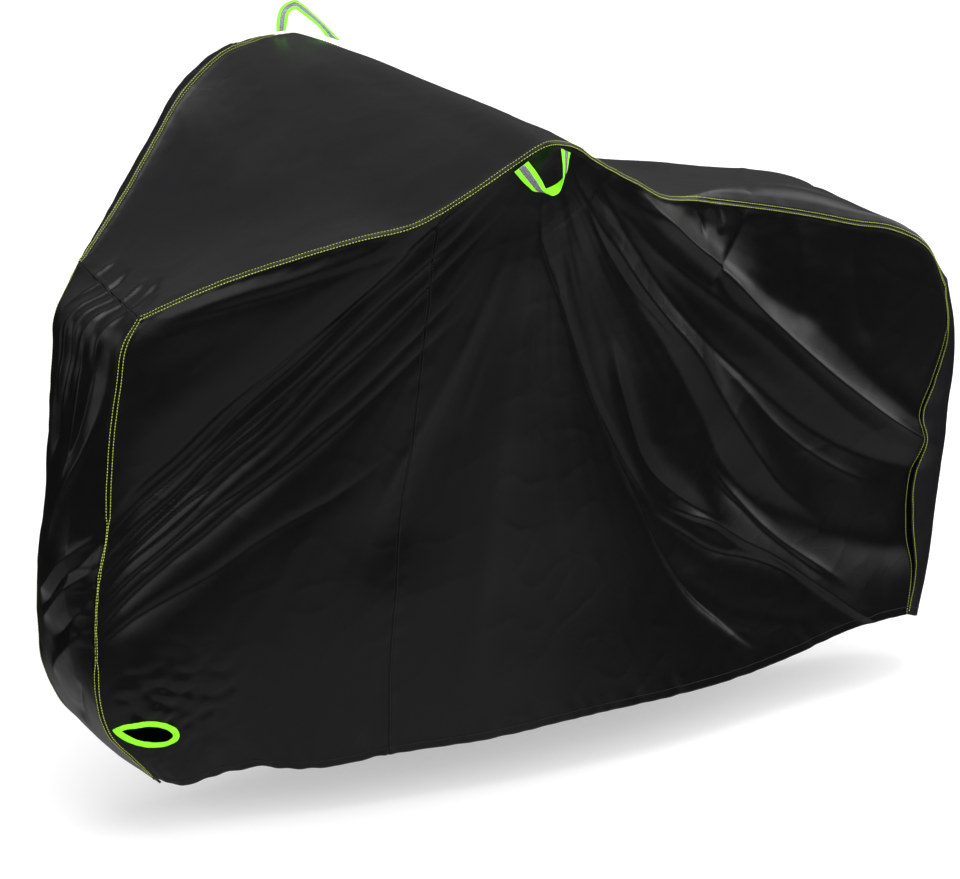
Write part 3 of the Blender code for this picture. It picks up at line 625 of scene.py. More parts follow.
for name in ("near", "far"):
    beside = distance_from(folded[name], 0, 0)
    beside = np.abs(beside - beside[upright_column])
    rise = UPRIGHT_SHARE * seam_relief(beside, distance_from(folded[name], 1, 0), UPRIGHT_OFFSET)
    folded[name] = folded[name] + rise[..., None] * normals[name]
normals = shared_normals(folded)


# ---------------------------------------------------------------------------------------------------------------------
# Coated cloth. Polyester oxford, plain woven and coated on its face with polyurethane, which gives a black with a soft,
# broad gloss. Creases from its packing and the threads of the weave break that gloss up.
# ---------------------------------------------------------------------------------------------------------------------
def linear(hex_colour):
    """A linear colour from an sRGB hex value."""
    values = [int(hex_colour[k : k + 2], 16) / 255 for k in (1, 3, 5)]
    return tuple(v / 12.92 if v <= 0.04045 else ((v + 0.055) / 1.055) ** 2.4 for v in values) + (1,)


def add_node(tree, kind, settings=(), links=()):
    """A node with its settings and the links into it: a setting names an input by name or number, or a property."""
    node = tree.nodes.new("ShaderNode" + kind)
    for key, value in dict(settings).items():
        if isinstance(key, str) and hasattr(node, key):
            setattr(node, key, value)
        else:
            node.inputs[key].default_value = value
    for key, socket in dict(links).items():
        tree.links.new(socket, node.inputs[key])
    return node


def new_finish(name):
    """An empty material with its shader: (material, tree, shader)."""
    made = bpy.data.materials.new(name)
    made.use_nodes = True
    return made, made.node_tree, made.node_tree.nodes["Principled BSDF"]


# Bands of a wave texture lie this far apart at scale 1. The cloth's real threads are 0.3 mm apart, too fine to show
# here, so its weave is drawn at 1.5 mm.
BAND_SPACING = np.pi / 10
CLOTH_WEAVE = 0.001508


def coated_cloth(name, base, tint, roughness):
    """Black coated oxford, faintly uneven in its black: a satin gloss that the weave and the packing creases break."""
    made, tree, shader = new_finish(name)
    place = add_node(tree, "TexCoord")
    flat = add_node(tree, "UVMap", {"uv_map": "cut"})
    warp, weft = (
        add_node(tree, "TexWave", {"bands_direction": direction, "Scale": BAND_SPACING / CLOTH_WEAVE,
                                   "Distortion": 0.6, "Detail": 1.0, "Detail Scale": 3.0},
                 {"Vector": flat.outputs["UV"]})
        for direction in ("X", "Y")
    )
    weave = add_node(tree, "Math", {"operation": "MAXIMUM"}, {0: warp.outputs["Fac"], 1: weft.outputs["Fac"]})
    patches = add_node(tree, "TexNoise", {"Scale": 4.0, "Detail": 3.0, "Roughness": 0.55},
                       {"Vector": place.outputs["Object"]})
    shade = add_node(tree, "ValToRGB", {}, {"Fac": patches.outputs["Fac"]})
    for element, position, tone in zip(shade.color_ramp.elements, (0.36, 0.64), (tint, base)):
        element.position, element.color = position, linear(tone)
    tree.links.new(shade.outputs["Color"], shader.inputs["Base Color"])
    # Creases from packing: thin lines that bound patches about 60 mm wide.
    packing = add_node(tree, "TexVoronoi", {"feature": "DISTANCE_TO_EDGE", "Scale": 17.0, "Randomness": 1.0},
                       {"Vector": place.outputs["Object"]})
    line = add_node(tree, "MapRange", {"From Min": 0.0, "From Max": 0.06, "To Min": 1.0, "To Max": 0.0},
                    {"Value": packing.outputs["Distance"]})
    fine = add_node(tree, "TexNoise", {"Scale": 45.0, "Detail": 3.0, "Roughness": 0.5},
                    {"Vector": place.outputs["Object"]})
    gloss = add_node(tree, "MapRange", {"From Min": 0.3, "From Max": 0.7, "To Min": roughness - 0.02,
                                        "To Max": roughness + 0.03}, {"Value": fine.outputs["Fac"]})
    tree.links.new(gloss.outputs["Result"], shader.inputs["Roughness"])
    threads = add_node(tree, "Bump", {"Strength": 0.10, "Distance": 0.0004}, {"Height": weave.outputs["Value"]})
    crinkles = add_node(tree, "Bump", {"Strength": 0.07, "Distance": 0.0015},
                        {"Height": fine.outputs["Fac"], "Normal": threads.outputs["Normal"]})
    creases = add_node(tree, "Bump", {"Strength": 0.06, "Distance": 0.001},
                       {"Height": line.outputs["Result"], "Normal": crinkles.outputs["Normal"]})
    tree.links.new(creases.outputs["Normal"], shader.inputs["Normal"])
    shader.inputs["IOR"].default_value = 1.5
    shader.inputs["Specular IOR Level"].default_value = 0.30
    return made


# One coated cloth: the strip's colours are painted lighter, as painted light on the top, and the sides' colours darker,
# as painted shade.
TOP_FINISH_PAINTED_LIGHT = coated_cloth("polyurethane coated polyester of the strip", "#161516", "#121113", 0.32)
SIDE_FINISH_PAINTED_SHADE = coated_cloth("polyurethane coated polyester of the sides", "#080908", "#060706", 0.30)

# Rows of the turned hem: how far inside the cloth, and how high above the fold. Its direction is taken over some rows.
TURNED_HEM = ((0.0024, 0.000), (0.0030, 0.006), (0.0030, 0.016))
HEM_ROWS = 4


def with_turned_hem(grid, normal, hem_axis):
    """The grid with its hem turned up inside."""
    grid = np.moveaxis(grid, hem_axis, 0)
    normal = np.moveaxis(normal, hem_axis, 0)
    upward = grid[-HEM_ROWS] - grid[-1]
    upward /= np.linalg.norm(upward, axis=-1, keepdims=True)
    rows = [grid[-1] - depth * normal[-1] + height * upward for depth, height in TURNED_HEM]
    return np.moveaxis(np.concatenate([grid, np.stack(rows)]), 0, hem_axis)


def grid_faces(grid):
    """Corners of the faces between a grid's points."""
    index = np.arange(grid.shape[0] * grid.shape[1]).reshape(grid.shape[:2])
    return np.stack([index[:-1, :-1], index[1:, :-1], index[1:, 1:], index[:-1, 1:]], axis=-1).reshape(-1, 4)


def add_object(name, data):
    """An object in the scene for a mesh, a lamp or a camera."""
    made = bpy.data.objects.new(name, data)
    bpy.context.scene.collection.objects.link(made)
    return made


def add_shape(name, points, faces, finish):
    """A smooth mesh, lowered from heights above the ground to the frame."""
    mesh = bpy.data.meshes.new(name)
    mesh.from_pydata((np.array(points) - FRAME_START).tolist(), [], faces)
    mesh.shade_smooth()
    mesh.materials.append(finish)
    return add_object(name, mesh)


def lay_flat(piece, places):
    """Gives each vertex its place on the flat cut, in metres, as texture places."""
    corner_points = np.empty(len(piece.data.loops), np.int32)
    piece.data.loops.foreach_get("vertex_index", corner_points)
    layer = piece.data.uv_layers.new(name="cut")
    layer.data.foreach_set("uv", np.array(places)[corner_points].astype(np.float32).reshape(-1))


def add_sheet(name, grid, outward, finish, hole=None):
    """A single sheet of cloth on a grid."""
    faces = grid_faces(grid)[:, :: 1 if outward > 0 else -1]
    if hole is not None:
        faces = faces[~hole.reshape(-1)]
    sheet = add_shape(name, grid.reshape(-1, 3), faces.tolist(), finish)
    lay_flat(sheet, np.stack([distance_from(grid, 0, 0), distance_from(grid, 1, 0)], axis=-1).reshape(-1, 2))
    return sheet


def declare_cloth(sheet, node):
    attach(sheet, "root")
    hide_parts(node)


# ---------------------------------------------------------------------------------------------------------------------
# Top panel. One long cloth from the brow over the handlebar and the saddle and down the back, its hem turned up.
# ---------------------------------------------------------------------------------------------------------------------
top_grid = with_turned_hem(folded["top"], normals["top"], 0)
top_cloth = add_sheet("top_panel_cloth", top_grid, OUTWARD["top"], TOP_FINISH_PAINTED_LIGHT)
declare_cloth(top_cloth, "top_panel")

# ---------------------------------------------------------------------------------------------------------------------
# Front panel. It hangs from the black joint at the brow to the front hem, between the two front seams. It is the same
# cloth as the sides.
# ---------------------------------------------------------------------------------------------------------------------
front_grid = with_turned_hem(folded["front"], normals["front"], 0)
front_cloth = add_sheet("front_panel_cloth", front_grid, OUTWARD["front"], SIDE_FINISH_PAINTED_SHADE)
declare_cloth(front_cloth, "front_panel")

# ---------------------------------------------------------------------------------------------------------------------
# Sides. Each is two cloths sewn at an upright seam, hung from the strip, with the hem turned up over its elastic.
# ---------------------------------------------------------------------------------------------------------------------
LOCK_LENGTH = 0.124
LOCK_HEIGHT = 0.060
LOCK_TILT = -0.28
LOCK_TIP = 0.6
# The hole in the cloth is this much smaller than the outline of its binding, so that its edge lies inside the tape.
EDGE_IN_LENGTH, EDGE_IN_HEIGHT = 0.010, 0.008
HOLE_POINTS = 60


def teardrop(length, height, count):
    """Outline of the lock opening in the side view, its tip towards the front."""
    turned = np.linspace(0, 2 * np.pi, count, endpoint=False)
    ahead = -length / 2 * np.cos(turned)
    up = height / 2 * np.sin(turned) * np.abs(np.sin(turned / 2)) ** LOCK_TIP
    x = LOCK_CENTRE[0] + ahead * np.cos(LOCK_TILT) - up * np.sin(LOCK_TILT)
    z = LOCK_CENTRE[1] + ahead * np.sin(LOCK_TILT) + up * np.cos(LOCK_TILT)
    return np.stack([x, z], axis=1)


def inside_outline(places, outline):
    """Which places lie inside a closed outline."""
    inside = np.zeros(places.shape[:-1], bool)
    for (x0, z0), (x1, z1) in zip(outline, np.roll(outline, -1, axis=0)):
        crosses = (places[..., 1] < z0) != (places[..., 1] < z1)
        with np.errstate(divide="ignore", invalid="ignore"):
            at = x0 + (places[..., 1] - z0) * (x1 - x0) / (z1 - z0)
        inside ^= crosses & (places[..., 0] < at)
    return inside


hole_outline = teardrop(LOCK_LENGTH - EDGE_IN_LENGTH, LOCK_HEIGHT - EDGE_IN_HEIGHT, HOLE_POINTS)
for where in ("near", "far"):
    grid = with_turned_hem(folded[where], normals[where], 1)
    for end, part in (("front", grid[: upright_column + 1]), ("rear", grid[upright_column:])):
        middles = (part[1:, 1:] + part[:-1, :-1]) / 2
        hole = inside_outline(middles[..., [0, 2]], hole_outline) if end == "front" else None
        cloth = add_sheet(f"side_{where}_{end}_cloth", part, OUTWARD[where], SIDE_FINISH_PAINTED_SHADE, hole)
        declare_cloth(cloth, f"side_{where}_{end}")

# ---------------------------------------------------------------------------------------------------------------------
# Topstitching. Two rows of lime polyester thread run along each long seam, one on either side of the joint, and black
# thread holds the brow joint, the upright seams and the hem. Lock stitches of real 0.5 mm thread are drawn 1.5 mm wide.
# ---------------------------------------------------------------------------------------------------------------------
STITCH_PITCH = 0.0052
STITCH_LENGTH = 0.0046
THREAD = 0.0015
STITCH_SIDES = 5
# A stitch rises between its two ends: its shoulders' places, their height in threads, and its height to its width.
SHOULDERS = (0.3, 0.7)
STITCH_LIFT = 0.35
STITCH_FLATNESS = 0.6


def sewing_thread(name, colour, shade, roughness):
    """Twisted filament, which shines softly, with painted shade between its turns."""
    made, tree, shader = new_finish(name)
    place = add_node(tree, "TexCoord")
    twist = add_node(tree, "TexNoise", {"Scale": 350.0, "Detail": 2.0}, {"Vector": place.outputs["Object"]})
    # The ramp paints random spots in the darker thread colour, as painted shade between the turns.
    ramp = add_node(tree, "ValToRGB", {}, {"Fac": twist.outputs["Fac"]})
    for element, position, tone in zip(ramp.color_ramp.elements, (0.35, 0.6), (shade, colour)):
        element.position, element.color = position, linear(tone)
    tree.links.new(ramp.outputs["Color"], shader.inputs["Base Color"])
    shader.inputs["Roughness"].default_value = roughness
    return made


LIME_THREAD = sewing_thread("trilobal polyester thread in lime", "#b6c84a", "#9aac38", 0.45)
BLACK_THREAD = sewing_thread("trilobal polyester thread in black", "#181818", "#0c0c0c", 0.40)


# Rows of a grid, from its edge, that are looked through for a line beside the edge.
ROWS_BESIDE = 14


def line_beside(grid, normal, axis, index, offset):
    """The line on the cloth at that distance from one edge of its grid: its points and normals."""
    strips, outwards = np.moveaxis(grid, axis, 0), np.moveaxis(normal, axis, 0)
    if index == -1:
        strips, outwards = strips[::-1], outwards[::-1]
    strips, outwards = strips[:ROWS_BESIDE], outwards[:ROWS_BESIDE]
    travelled = distance_from(strips, 0, 0)
    row = np.clip((travelled <= offset).sum(axis=0) - 1, 0, len(strips) - 2)
    column = np.arange(strips.shape[1])
    before, after = travelled[row, column], travelled[row + 1, column]
    part = np.clip((offset - before) / (after - before), 0, 1)[:, None]
    points = strips[row, column] * (1 - part) + strips[row + 1, column] * part
    return points, outwards[row, column] * (1 - part) + outwards[row + 1, column] * part


def stitches_along(points, outwards):
    """Vertices and faces of the stitches on a line."""
    travelled = travelled_along(points)
    at = np.arange(STITCH_PITCH, travelled[-1] - STITCH_PITCH, STITCH_PITCH)
    turned = np.linspace(0, 2 * np.pi, STITCH_SIDES, endpoint=False)
    vertices, faces = [], []
    ahead, behind = placed_along(points, at + STITCH_LENGTH / 2), placed_along(points, at - STITCH_LENGTH / 2)
    up = np.stack([np.interp(at, travelled, outwards[:, k]) for k in range(3)], axis=1)
    up /= np.linalg.norm(up, axis=1, keepdims=True)
    run = ahead - behind
    run /= np.linalg.norm(run, axis=1, keepdims=True)
    sideways = np.cross(run, up)
    for first, last, out, across_line in zip(behind, ahead, up, sideways):
        base = len(vertices)
        vertices.append(first)
        for share in SHOULDERS:
            middle = first * (1 - share) + last * share + STITCH_LIFT * THREAD * out
            for angle in turned:
                around = np.cos(angle) * across_line + STITCH_FLATNESS * np.sin(angle) * out
                vertices.append(middle + THREAD / 2 * around)
        vertices.append(last)
        final = base + 1 + 2 * STITCH_SIDES
        for k in range(STITCH_SIDES):
            after = (k + 1) % STITCH_SIDES
            ring, following = base + 1, base + 1 + STITCH_SIDES
            faces.append((base, ring + after, ring + k))
            faces.append((ring + k, ring + after, following + after, following + k))
            faces.append((following + k, following + after, final))
    return vertices, faces


def add_piece(name, vertices, faces, finish):
    """A piece of mesh that rides on the root and takes its finish from a slot."""
    piece = add_shape(name, vertices, faces, finish)
    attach(piece, "root")
    return piece


def surface_of(grids):
    """A search tree of the cloths' outer faces."""
    vertices, faces = [], []
    for grid in grids:
        rows, columns = grid.shape[:2]
        first = len(vertices)
        vertices += grid.reshape(-1, 3).tolist()
        for row in range(rows - 1):
            start = first + row * columns
            faces += [(k, k + 1, k + columns + 1, k + columns) for k in range(start, start + columns - 1)]
    return BVHTree.FromPolygons(vertices, faces)


CLOTH_SURFACE = surface_of(folded.values())
SEAT_REACH = 0.005


def seated(points, outwards):
    """The points moved onto the cloth's outer face, where a fold of the neighbouring cloth lies over them."""
    found = []
    for point, out in zip(points, outwards):
        hit = CLOTH_SURFACE.ray_cast(Vector(point + SEAT_REACH * out), Vector(-out), 2 * SEAT_REACH)[0]
        found.append(point if hit is None else np.array(hit))
    return np.array(found)


def add_stitching(name, lines, finish):
    """Stitching along several lines as one piece: each has a cloth, an edge of its grid and a distance from it."""
    vertices, faces = [], []
    for grid, normal, axis, index, offset in lines:
        points, outwards = line_beside(grid, normal, axis, index, offset)
        some_vertices, some_faces = stitches_along(seated(points, outwards), outwards)
        faces += [tuple(k + len(vertices) for k in face) for face in some_faces]
        vertices += some_vertices
    return add_piece(name, vertices, faces, finish)


BESIDE_JOINT = 0.0038
BESIDE_BLACK_JOINT = 0.0030
HEM_STITCH = 0.016
for where, edge in (("near", 0), ("far", -1)):
    side, outwards = folded[where], normals[where]
    lines = [
        (folded["top"], normals["top"], 1, edge, BESIDE_JOINT),
        (folded["front"], normals["front"], 1, edge, BESIDE_JOINT),
        (side, outwards, 1, 0, BESIDE_JOINT),
        (side, outwards, 0, 0, BESIDE_JOINT),
        (side, outwards, 0, -1, BESIDE_JOINT),
    ]
    add_stitching("lime_stitching_" + where, lines, LIME_THREAD)
    before, after = slice(upright_column + 1), slice(upright_column, None)
    lines = [
        (side[before], outwards[before], 0, -1, BESIDE_BLACK_JOINT),
        (side[after], outwards[after], 0, 0, BESIDE_BLACK_JOINT),
        (side, outwards, 1, -1, HEM_STITCH),
    ]
    add_stitching("black_stitching_" + where, lines, BLACK_THREAD)
lines = [
    (folded["top"], normals["top"], 0, 0, BESIDE_BLACK_JOINT),
    (folded["front"], normals["front"], 0, 0, BESIDE_BLACK_JOINT),
    (folded["front"], normals["front"], 0, -1, HEM_STITCH),
    (folded["top"], normals["top"], 0, -1, HEM_STITCH),
]
add_stitching("black_stitching_strip", lines, BLACK_THREAD)

# ---------------------------------------------------------------------------------------------------------------------
# Lock openings. Each is bound with lime polyester tape, folded over the cut edge of the cloth and sewn through.
# ---------------------------------------------------------------------------------------------------------------------
TAPE_POINTS = 132
TAPE_WIDTH = 0.0105
TAPE_THICKNESS = 0.0036
TAPE_SECTION = 12
# How far the tape's thickness and width stray, and over what length. Its section is a box with rounded corners.
THICK_STRAY, THICK_STRAY_LENGTH = 0.0007, 0.009
WIDE_STRAY, WIDE_STRAY_LENGTH = 0.06, 0.014
TAPE_ROUNDNESS = 0.7
# The tape's middle lies this far out of the cloth, which is looked for from well outside it.
TAPE_SEAT = 0.0006
WELL_OUTSIDE = 0.5


def woven_tape(name, colour, shade, roughness, pitch):
    """Narrow woven polyester in a fluorescent lime with a painted glow: ribs across it, and a warp along it."""
    made, tree, shader = new_finish(name)
    flat = add_node(tree, "UVMap", {"uv_map": "cut"})
    ribs, warp = (
        add_node(tree, "TexWave", {"bands_direction": direction, "Scale": BAND_SPACING / pitch, "Distortion": 0.4},
                 {"Vector": flat.outputs["UV"]})
        for direction in ("X", "Y")
    )
    weave = add_node(tree, "Math", {"operation": "MAXIMUM"}, {0: ribs.outputs["Fac"], 1: warp.outputs["Fac"]})
    place = add_node(tree, "TexCoord")
    patchy = add_node(tree, "TexNoise", {"Scale": 90.0, "Detail": 3.0}, {"Vector": place.outputs["Object"]})
    mixed = add_node(tree, "Math", {"operation": "MULTIPLY"}, {0: weave.outputs["Value"], 1: patchy.outputs["Fac"]})
    # The ramp paints the grooves of the weave in the darker lime, as painted shade, and random patches darker too.
    ramp = add_node(tree, "ValToRGB", {}, {"Fac": mixed.outputs["Value"]})
    for element, position, tone in zip(ramp.color_ramp.elements, (0.15, 0.45), (shade, colour)):
        element.position, element.color = position, linear(tone)
    tree.links.new(ramp.outputs["Color"], shader.inputs["Base Color"])
    relief = add_node(tree, "Bump", {"Strength": 0.5, "Distance": 0.0003}, {"Height": weave.outputs["Value"]})
    tree.links.new(relief.outputs["Normal"], shader.inputs["Normal"])
    shader.inputs["Roughness"].default_value = roughness
    # Painted glow: the tape gives off a faint light in its own lime, though it is no lamp.
    shader.inputs["Emission Color"].default_value = linear(colour)
    shader.inputs["Emission Strength"].default_value = 0.16
    return made


# The ribs are 0.75 mm apart.
LIME_TAPE = woven_tape("woven polyester binding in fluorescent lime", "#8cff05", "#74dc00", 0.55, 0.000754)


def rounded_box(share):
    """A sine or cosine, filled out towards the corners of a box."""
    return np.sign(share) * np.abs(share) ** TAPE_ROUNDNESS


def lock_binding(where, side):
    """The tape of one opening, laid on the outer face of its side's cloth."""
    grid = folded[where][: upright_column + 1]
    cloth = BVHTree.FromPolygons(grid.reshape(-1, 3).tolist(), grid_faces(grid).tolist())
    outline = teardrop(LOCK_LENGTH, LOCK_HEIGHT, TAPE_POINTS)
    before, after = np.roll(outline, 1, axis=0), np.roll(outline, -1, axis=0)
    run = after - before
    run /= np.linalg.norm(run, axis=1, keepdims=True)
    inward = np.stack([run[:, 1], -run[:, 0]], axis=1)
    turned = np.linspace(0, 2 * np.pi, TAPE_SECTION, endpoint=False)
    vertices, places = [], []
    travelled = 0
    for k in range(TAPE_POINTS):
        travelled += float(np.linalg.norm(outline[k] - before[k]))
        thick = TAPE_THICKNESS / 2 + THICK_STRAY * noise.noise((travelled / THICK_STRAY_LENGTH, 0, side))
        wide = TAPE_WIDTH * (0.5 + WIDE_STRAY * noise.noise((travelled / WIDE_STRAY_LENGTH, 3, side)))
        for angle in turned:
            spot = outline[k] + inward[k] * (TAPE_WIDTH / 2 + rounded_box(np.cos(angle)) * wide)
            hit = cloth.ray_cast(Vector((spot[0], side * WELL_OUTSIDE, spot[1])), Vector((0, -side, 0)))[0]
            lift = rounded_box(np.sin(angle)) * thick + TAPE_SEAT
            vertices.append((spot[0], hit.y + side * lift, spot[1]))
            places.append((travelled, angle * TAPE_WIDTH / np.pi))
    faces = []
    for k in range(TAPE_POINTS):
        following = (k + 1) % TAPE_POINTS
        for m in range(TAPE_SECTION):
            after_m = (m + 1) % TAPE_SECTION
            faces.append((k * TAPE_SECTION + m, k * TAPE_SECTION + after_m, following * TAPE_SECTION + after_m,
                          following * TAPE_SECTION + m))
    tape = add_piece(f"lock_binding_{where}_tape", vertices, faces, LIME_TAPE)
    lay_flat(tape, places)
    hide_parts(f"lock_binding_{where}")


lock_binding("near", -1)
lock_binding("far", 1)

# ---------------------------------------------------------------------------------------------------------------------
# Webbing loops. One is sewn over each bar end to pull the cover on by: lime polyester webbing with a grey band of
# reflective tape along the middle of its outer face.
# ---------------------------------------------------------------------------------------------------------------------
# The two edges of the webbing, from foot to foot: x, y, height of the one, and of the other.
NEAR_LOOP = [
    (-0.038, -0.410, 1.191, -0.060, -0.405, 1.175),
    (-0.030, -0.418, 1.178, -0.047, -0.408, 1.160),
    (-0.024, -0.430, 1.162, -0.038, -0.412, 1.151),
    (-0.020, -0.438, 1.149, -0.028, -0.418, 1.143),
    (-0.012, -0.442, 1.140, -0.013, -0.422, 1.146),
    (-0.001, -0.442, 1.142, 0.003, -0.422, 1.150),
    (0.010, -0.438, 1.156, 0.020, -0.420, 1.158),
    (0.016, -0.430, 1.175, 0.034, -0.414, 1.170),
    (0.019, -0.421, 1.194, 0.041, -0.408, 1.187),
    (0.021, -0.414, 1.207, 0.046, -0.404, 1.196),
]
FAR_LOOP = [
    (-0.025, 0.397, 1.262, -0.046, 0.393, 1.262),
    (-0.021, 0.398, 1.277, -0.037, 0.408, 1.281),
    (-0.015, 0.402, 1.291, -0.021, 0.420, 1.300),
    (-0.004, 0.404, 1.297, 0.002, 0.424, 1.309),
    (0.015, 0.406, 1.286, 0.023, 0.425, 1.302),
    (0.030, 0.406, 1.275, 0.040, 0.424, 1.288),
    (0.046, 0.401, 1.261, 0.062, 0.408, 1.264),
    (0.052, 0.390, 1.248, 0.076, 0.378, 1.240),
]
WEBBING_WIDTH = 0.025
WEBBING_THICKNESS = 0.0018
WEBBING_STATIONS = 80
# Thickness of its woven edge, as a share, and how far in the webbing reaches its full thickness.
EDGE_SHARE, EDGE_WIDTH = 0.35, 0.10
# Places across the webbing, which of them the reflective band covers on its outer face, and how thick that band is.
BAND_ACROSS = (0.0, 0.04, 0.12, 0.20, 0.27, 0.29, 0.40, 0.50, 0.60, 0.71, 0.73, 0.80, 0.88, 0.96, 1.0)
BAND_START, BAND_END = 0.28, 0.72
BAND_THICKNESS = 0.0003
# Its ribs are 1 mm apart.
LIME_WEBBING = woven_tape("woven polyester webbing in fluorescent lime", "#86ff00", "#6fd200", 0.55, 0.0010053)


def reflective_tape():
    """Glass-beaded reflective tape: a grey with a fine sparkle of painted glints and a satin gloss."""
    made, tree, shader = new_finish("glass-beaded reflective tape in grey")
    place = add_node(tree, "TexCoord")
    glint_specks = add_node(tree, "TexNoise", {"Scale": 420.0, "Detail": 2.0}, {"Vector": place.outputs["Object"]})
    # The ramp paints the lighter specks as painted glints of the glass beads.
    ramp = add_node(tree, "ValToRGB", {}, {"Fac": glint_specks.outputs["Fac"]})
    for element, position, tone in zip(ramp.color_ramp.elements, (0.35, 0.65), ("#5c5c66", "#8c8c98")):
        element.position, element.color = position, linear(tone)
    tree.links.new(ramp.outputs["Color"], shader.inputs["Base Color"])
    shader.inputs["Metallic"].default_value = 0.35
    shader.inputs["Roughness"].default_value = 0.42
    return made


REFLECTIVE = reflective_tape()


def webbing_loop(where, rows, face_side):
    """Webbing between its two edges, thinner at them. Its outer face is on the side that face_side gives."""
    stations = smooth_stations(rows, np.linspace(0, 1, WEBBING_STATIONS))
    first, second = stations[:, 0:3], stations[:, 3:6]
    run = np.gradient((first + second) / 2, axis=0)
    face = np.cross(run, second - first)
    face /= np.linalg.norm(face, axis=1, keepdims=True)
    face *= face_side
    length = np.linalg.norm(run, axis=1).sum()
    across_count = len(BAND_ACROSS)
    outer, inner, places = [], [], []
    for k in range(WEBBING_STATIONS):
        for part in BAND_ACROSS:
            thick = WEBBING_THICKNESS / 2 * min(1, EDGE_SHARE + min(part, 1 - part) / EDGE_WIDTH)
            band = BAND_THICKNESS if BAND_START < part < BAND_END else 0
            middle = first[k] * (1 - part) + second[k] * part
            outer.append(middle + face[k] * (thick + band))
            inner.append(middle - face[k] * thick)
            places.append((length * k / WEBBING_STATIONS, WEBBING_WIDTH * part))
    vertices = outer + inner
    half = len(outer)
    faces, on_bands = [], []
    for k in range(WEBBING_STATIONS - 1):
        for m in range(across_count - 1):
            a, b = k * across_count + m, k * across_count + m + 1
            c, d = a + across_count, b + across_count
            faces.append((a, b, d, c))
            on_bands.append(BAND_START < (BAND_ACROSS[m] + BAND_ACROSS[m + 1]) / 2 < BAND_END)
            faces.append((half + a, half + c, half + d, half + b))
            on_bands.append(False)
        for m in (0, across_count - 1):
            a, c = k * across_count + m, (k + 1) * across_count + m
            faces.append((a, c, half + c, half + a))
            on_bands.append(False)
    for k in (0, WEBBING_STATIONS - 1):
        for m in range(across_count - 1):
            a, b = k * across_count + m, k * across_count + m + 1
            faces.append((a, half + a, half + b, b))
            on_bands.append(False)
    loop = add_piece(f"loop_{where}_webbing", vertices, faces, LIME_WEBBING)
    loop.data.materials.append(REFLECTIVE)
    for polygon, on_band in zip(loop.data.polygons, on_bands):
        polygon.material_index = int(on_band)
    lay_flat(loop, places + places)
    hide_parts(f"loop_{where}")


webbing_loop("near", NEAR_LOOP, -1)
webbing_loop("far", FAR_LOOP, 1)

# ---------------------------------------------------------------------------------------------------------------------
# Studio. A plain pale floor, soft light from above, and a camera at the photograph's viewing angle.
# ---------------------------------------------------------------------------------------------------------------------
floor_finish, tree, shader = new_finish("matt white studio board")
shader.inputs["Base Color"].default_value = linear("#cfcfcf")
shader.inputs["Emission Color"].default_value = linear("#ffffff")
shader.inputs["Emission Strength"].default_value = 0.42
grain = add_node(tree, "TexNoise", {"Scale": 30.0, "Detail": 4.0})
matt = add_node(tree, "MapRange", {"To Min": 0.75, "To Max": 0.85}, {"Value": grain.outputs["Fac"]})
tree.links.new(matt.outputs["Result"], shader.inputs["Roughness"])
FLOOR_HALF = 300
corners = [(x * FLOOR_HALF, y * FLOOR_HALF, -FRAME_START[2]) for x, y in ((-1, -1), (1, -1), (1, 1), (-1, 1))]
mesh = bpy.data.meshes.new("studio_floor")
mesh.from_pydata(corners, [], [(0, 1, 2, 3)])
mesh.materials.append(floor_finish)
floor = add_object("studio_floor", mesh)
floor.visible_glossy = False

# The room that the cloth reflects: a bright ceiling, dark walls and a grey floor. Above the horizon it is dimmer beyond
# the far side, and all of it is brighter from the front end to the rear.
world = bpy.data.worlds.new("studio")
world.use_nodes = True
tree = world.node_tree
facing = add_node(tree, "TexCoord")
height = add_node(tree, "SeparateXYZ", {}, {"Vector": facing.outputs["Generated"]})
from_below = add_node(tree, "MapRange", {"From Min": -1.0, "From Max": 1.0}, {"Value": height.outputs["Z"]})
room = add_node(tree, "ValToRGB", {}, {"Fac": from_below.outputs["Result"]})
# place from straight down (0) to straight up (1), and brightness
ROOM = [
    (0.0, 0.20), (0.20, 0.26), (0.25, 0.14), (0.30, 0.01), (0.47, 0.0), (0.57, 0.5), (0.67, 1.3), (0.81, 1.5),
    (0.89, 0.7),
]
while len(room.color_ramp.elements) < len(ROOM):
    room.color_ramp.elements.new(0.5)
for element, (place, brightness) in zip(room.color_ramp.elements, ROOM):
    element.position = place
    element.color = (brightness, brightness, brightness, 1)
behind = add_node(tree, "MapRange", {"From Min": 0.12, "From Max": 0.5, "To Min": 0.0, "To Max": 0.89},
                  {"Value": height.outputs["Y"]})
overhead = add_node(tree, "MapRange", {"From Min": -0.15, "From Max": 0.12, "To Min": 0.0, "To Max": 1.0},
                    {"Value": height.outputs["Z"]})
dimmed = add_node(tree, "Math", {"operation": "MULTIPLY"}, {0: behind.outputs["Result"], 1: overhead.outputs["Result"]})
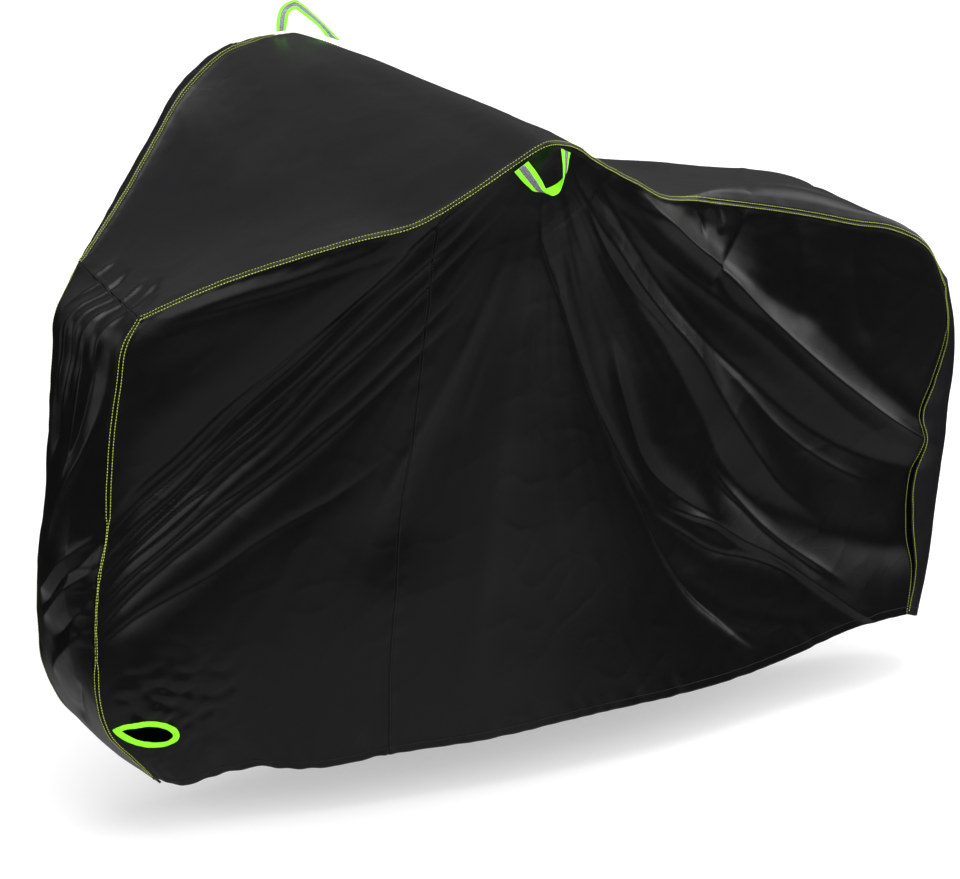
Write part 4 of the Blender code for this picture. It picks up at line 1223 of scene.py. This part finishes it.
back = add_node(tree, "Math", {"operation": "SUBTRACT", 0: 1.0}, {1: dimmed.outputs["Value"]})
ahead = add_node(tree, "MapRange", {"From Min": -0.8, "From Max": -0.2, "To Min": 1.1, "To Max": 1.7},
                 {"Value": height.outputs["X"]})
brightness = add_node(tree, "Math", {"operation": "MULTIPLY"}, {0: back.outputs["Value"], 1: ahead.outputs["Result"]})
tree.links.new(room.outputs["Color"], tree.nodes["Background"].inputs["Color"])
tree.links.new(brightness.outputs["Value"], tree.nodes["Background"].inputs["Strength"])
bpy.context.scene.world = world
bpy.context.scene.view_settings.view_transform = "Standard"

# kind, place, aim, size in metres or degrees, power in watts or watts per square metre
LAMPS = {
    "overhead_softbox": ("SUN", (-0.6, -0.3, 4.0), (0.0, 0.0, 0.0), 40, 1.2),
    "front_softbox": ("AREA", (-3.1, 1.7, -0.4), (-0.7, 0.0, -0.4), 1.3, 5),
    "right_softbox": ("AREA", (4.0, -0.5, 0.3), (0.4, -0.2, -0.4), 1.6, 10),
}
for name, (kind, place, aim, size, power) in LAMPS.items():
    lamp = bpy.data.lights.new(name, kind)
    if kind == "SUN":
        lamp.angle = np.radians(size)
    else:
        lamp.shape = "SQUARE"
        lamp.size = size
    lamp.energy = power
    holder = add_object(name, lamp)
    holder.location = place
    holder.rotation_euler = (Vector(aim) - Vector(place)).to_track_quat("-Z", "Y").to_euler()

CAMERA_PLACE = (-2.988, -4.794, 1.122)
YAW, PITCH, ROLL = 0.575, 0.299, 0.032
forward = Vector((np.sin(YAW) * np.cos(PITCH), np.cos(YAW) * np.cos(PITCH), -np.sin(PITCH)))
level = Vector((np.cos(YAW), -np.sin(YAW), 0))
upright = level.cross(forward)
right = level * np.cos(ROLL) + upright * np.sin(ROLL)
up = upright * np.cos(ROLL) - level * np.sin(ROLL)
lens = bpy.data.cameras.new("camera")
lens.sensor_width = 36
lens.lens = 127.63
camera = add_object("camera", lens)
camera.matrix_world = Matrix.Translation(CAMERA_PLACE) @ Matrix((right, up, -forward)).transposed().to_4x4()
bpy.context.scene.camera = camera
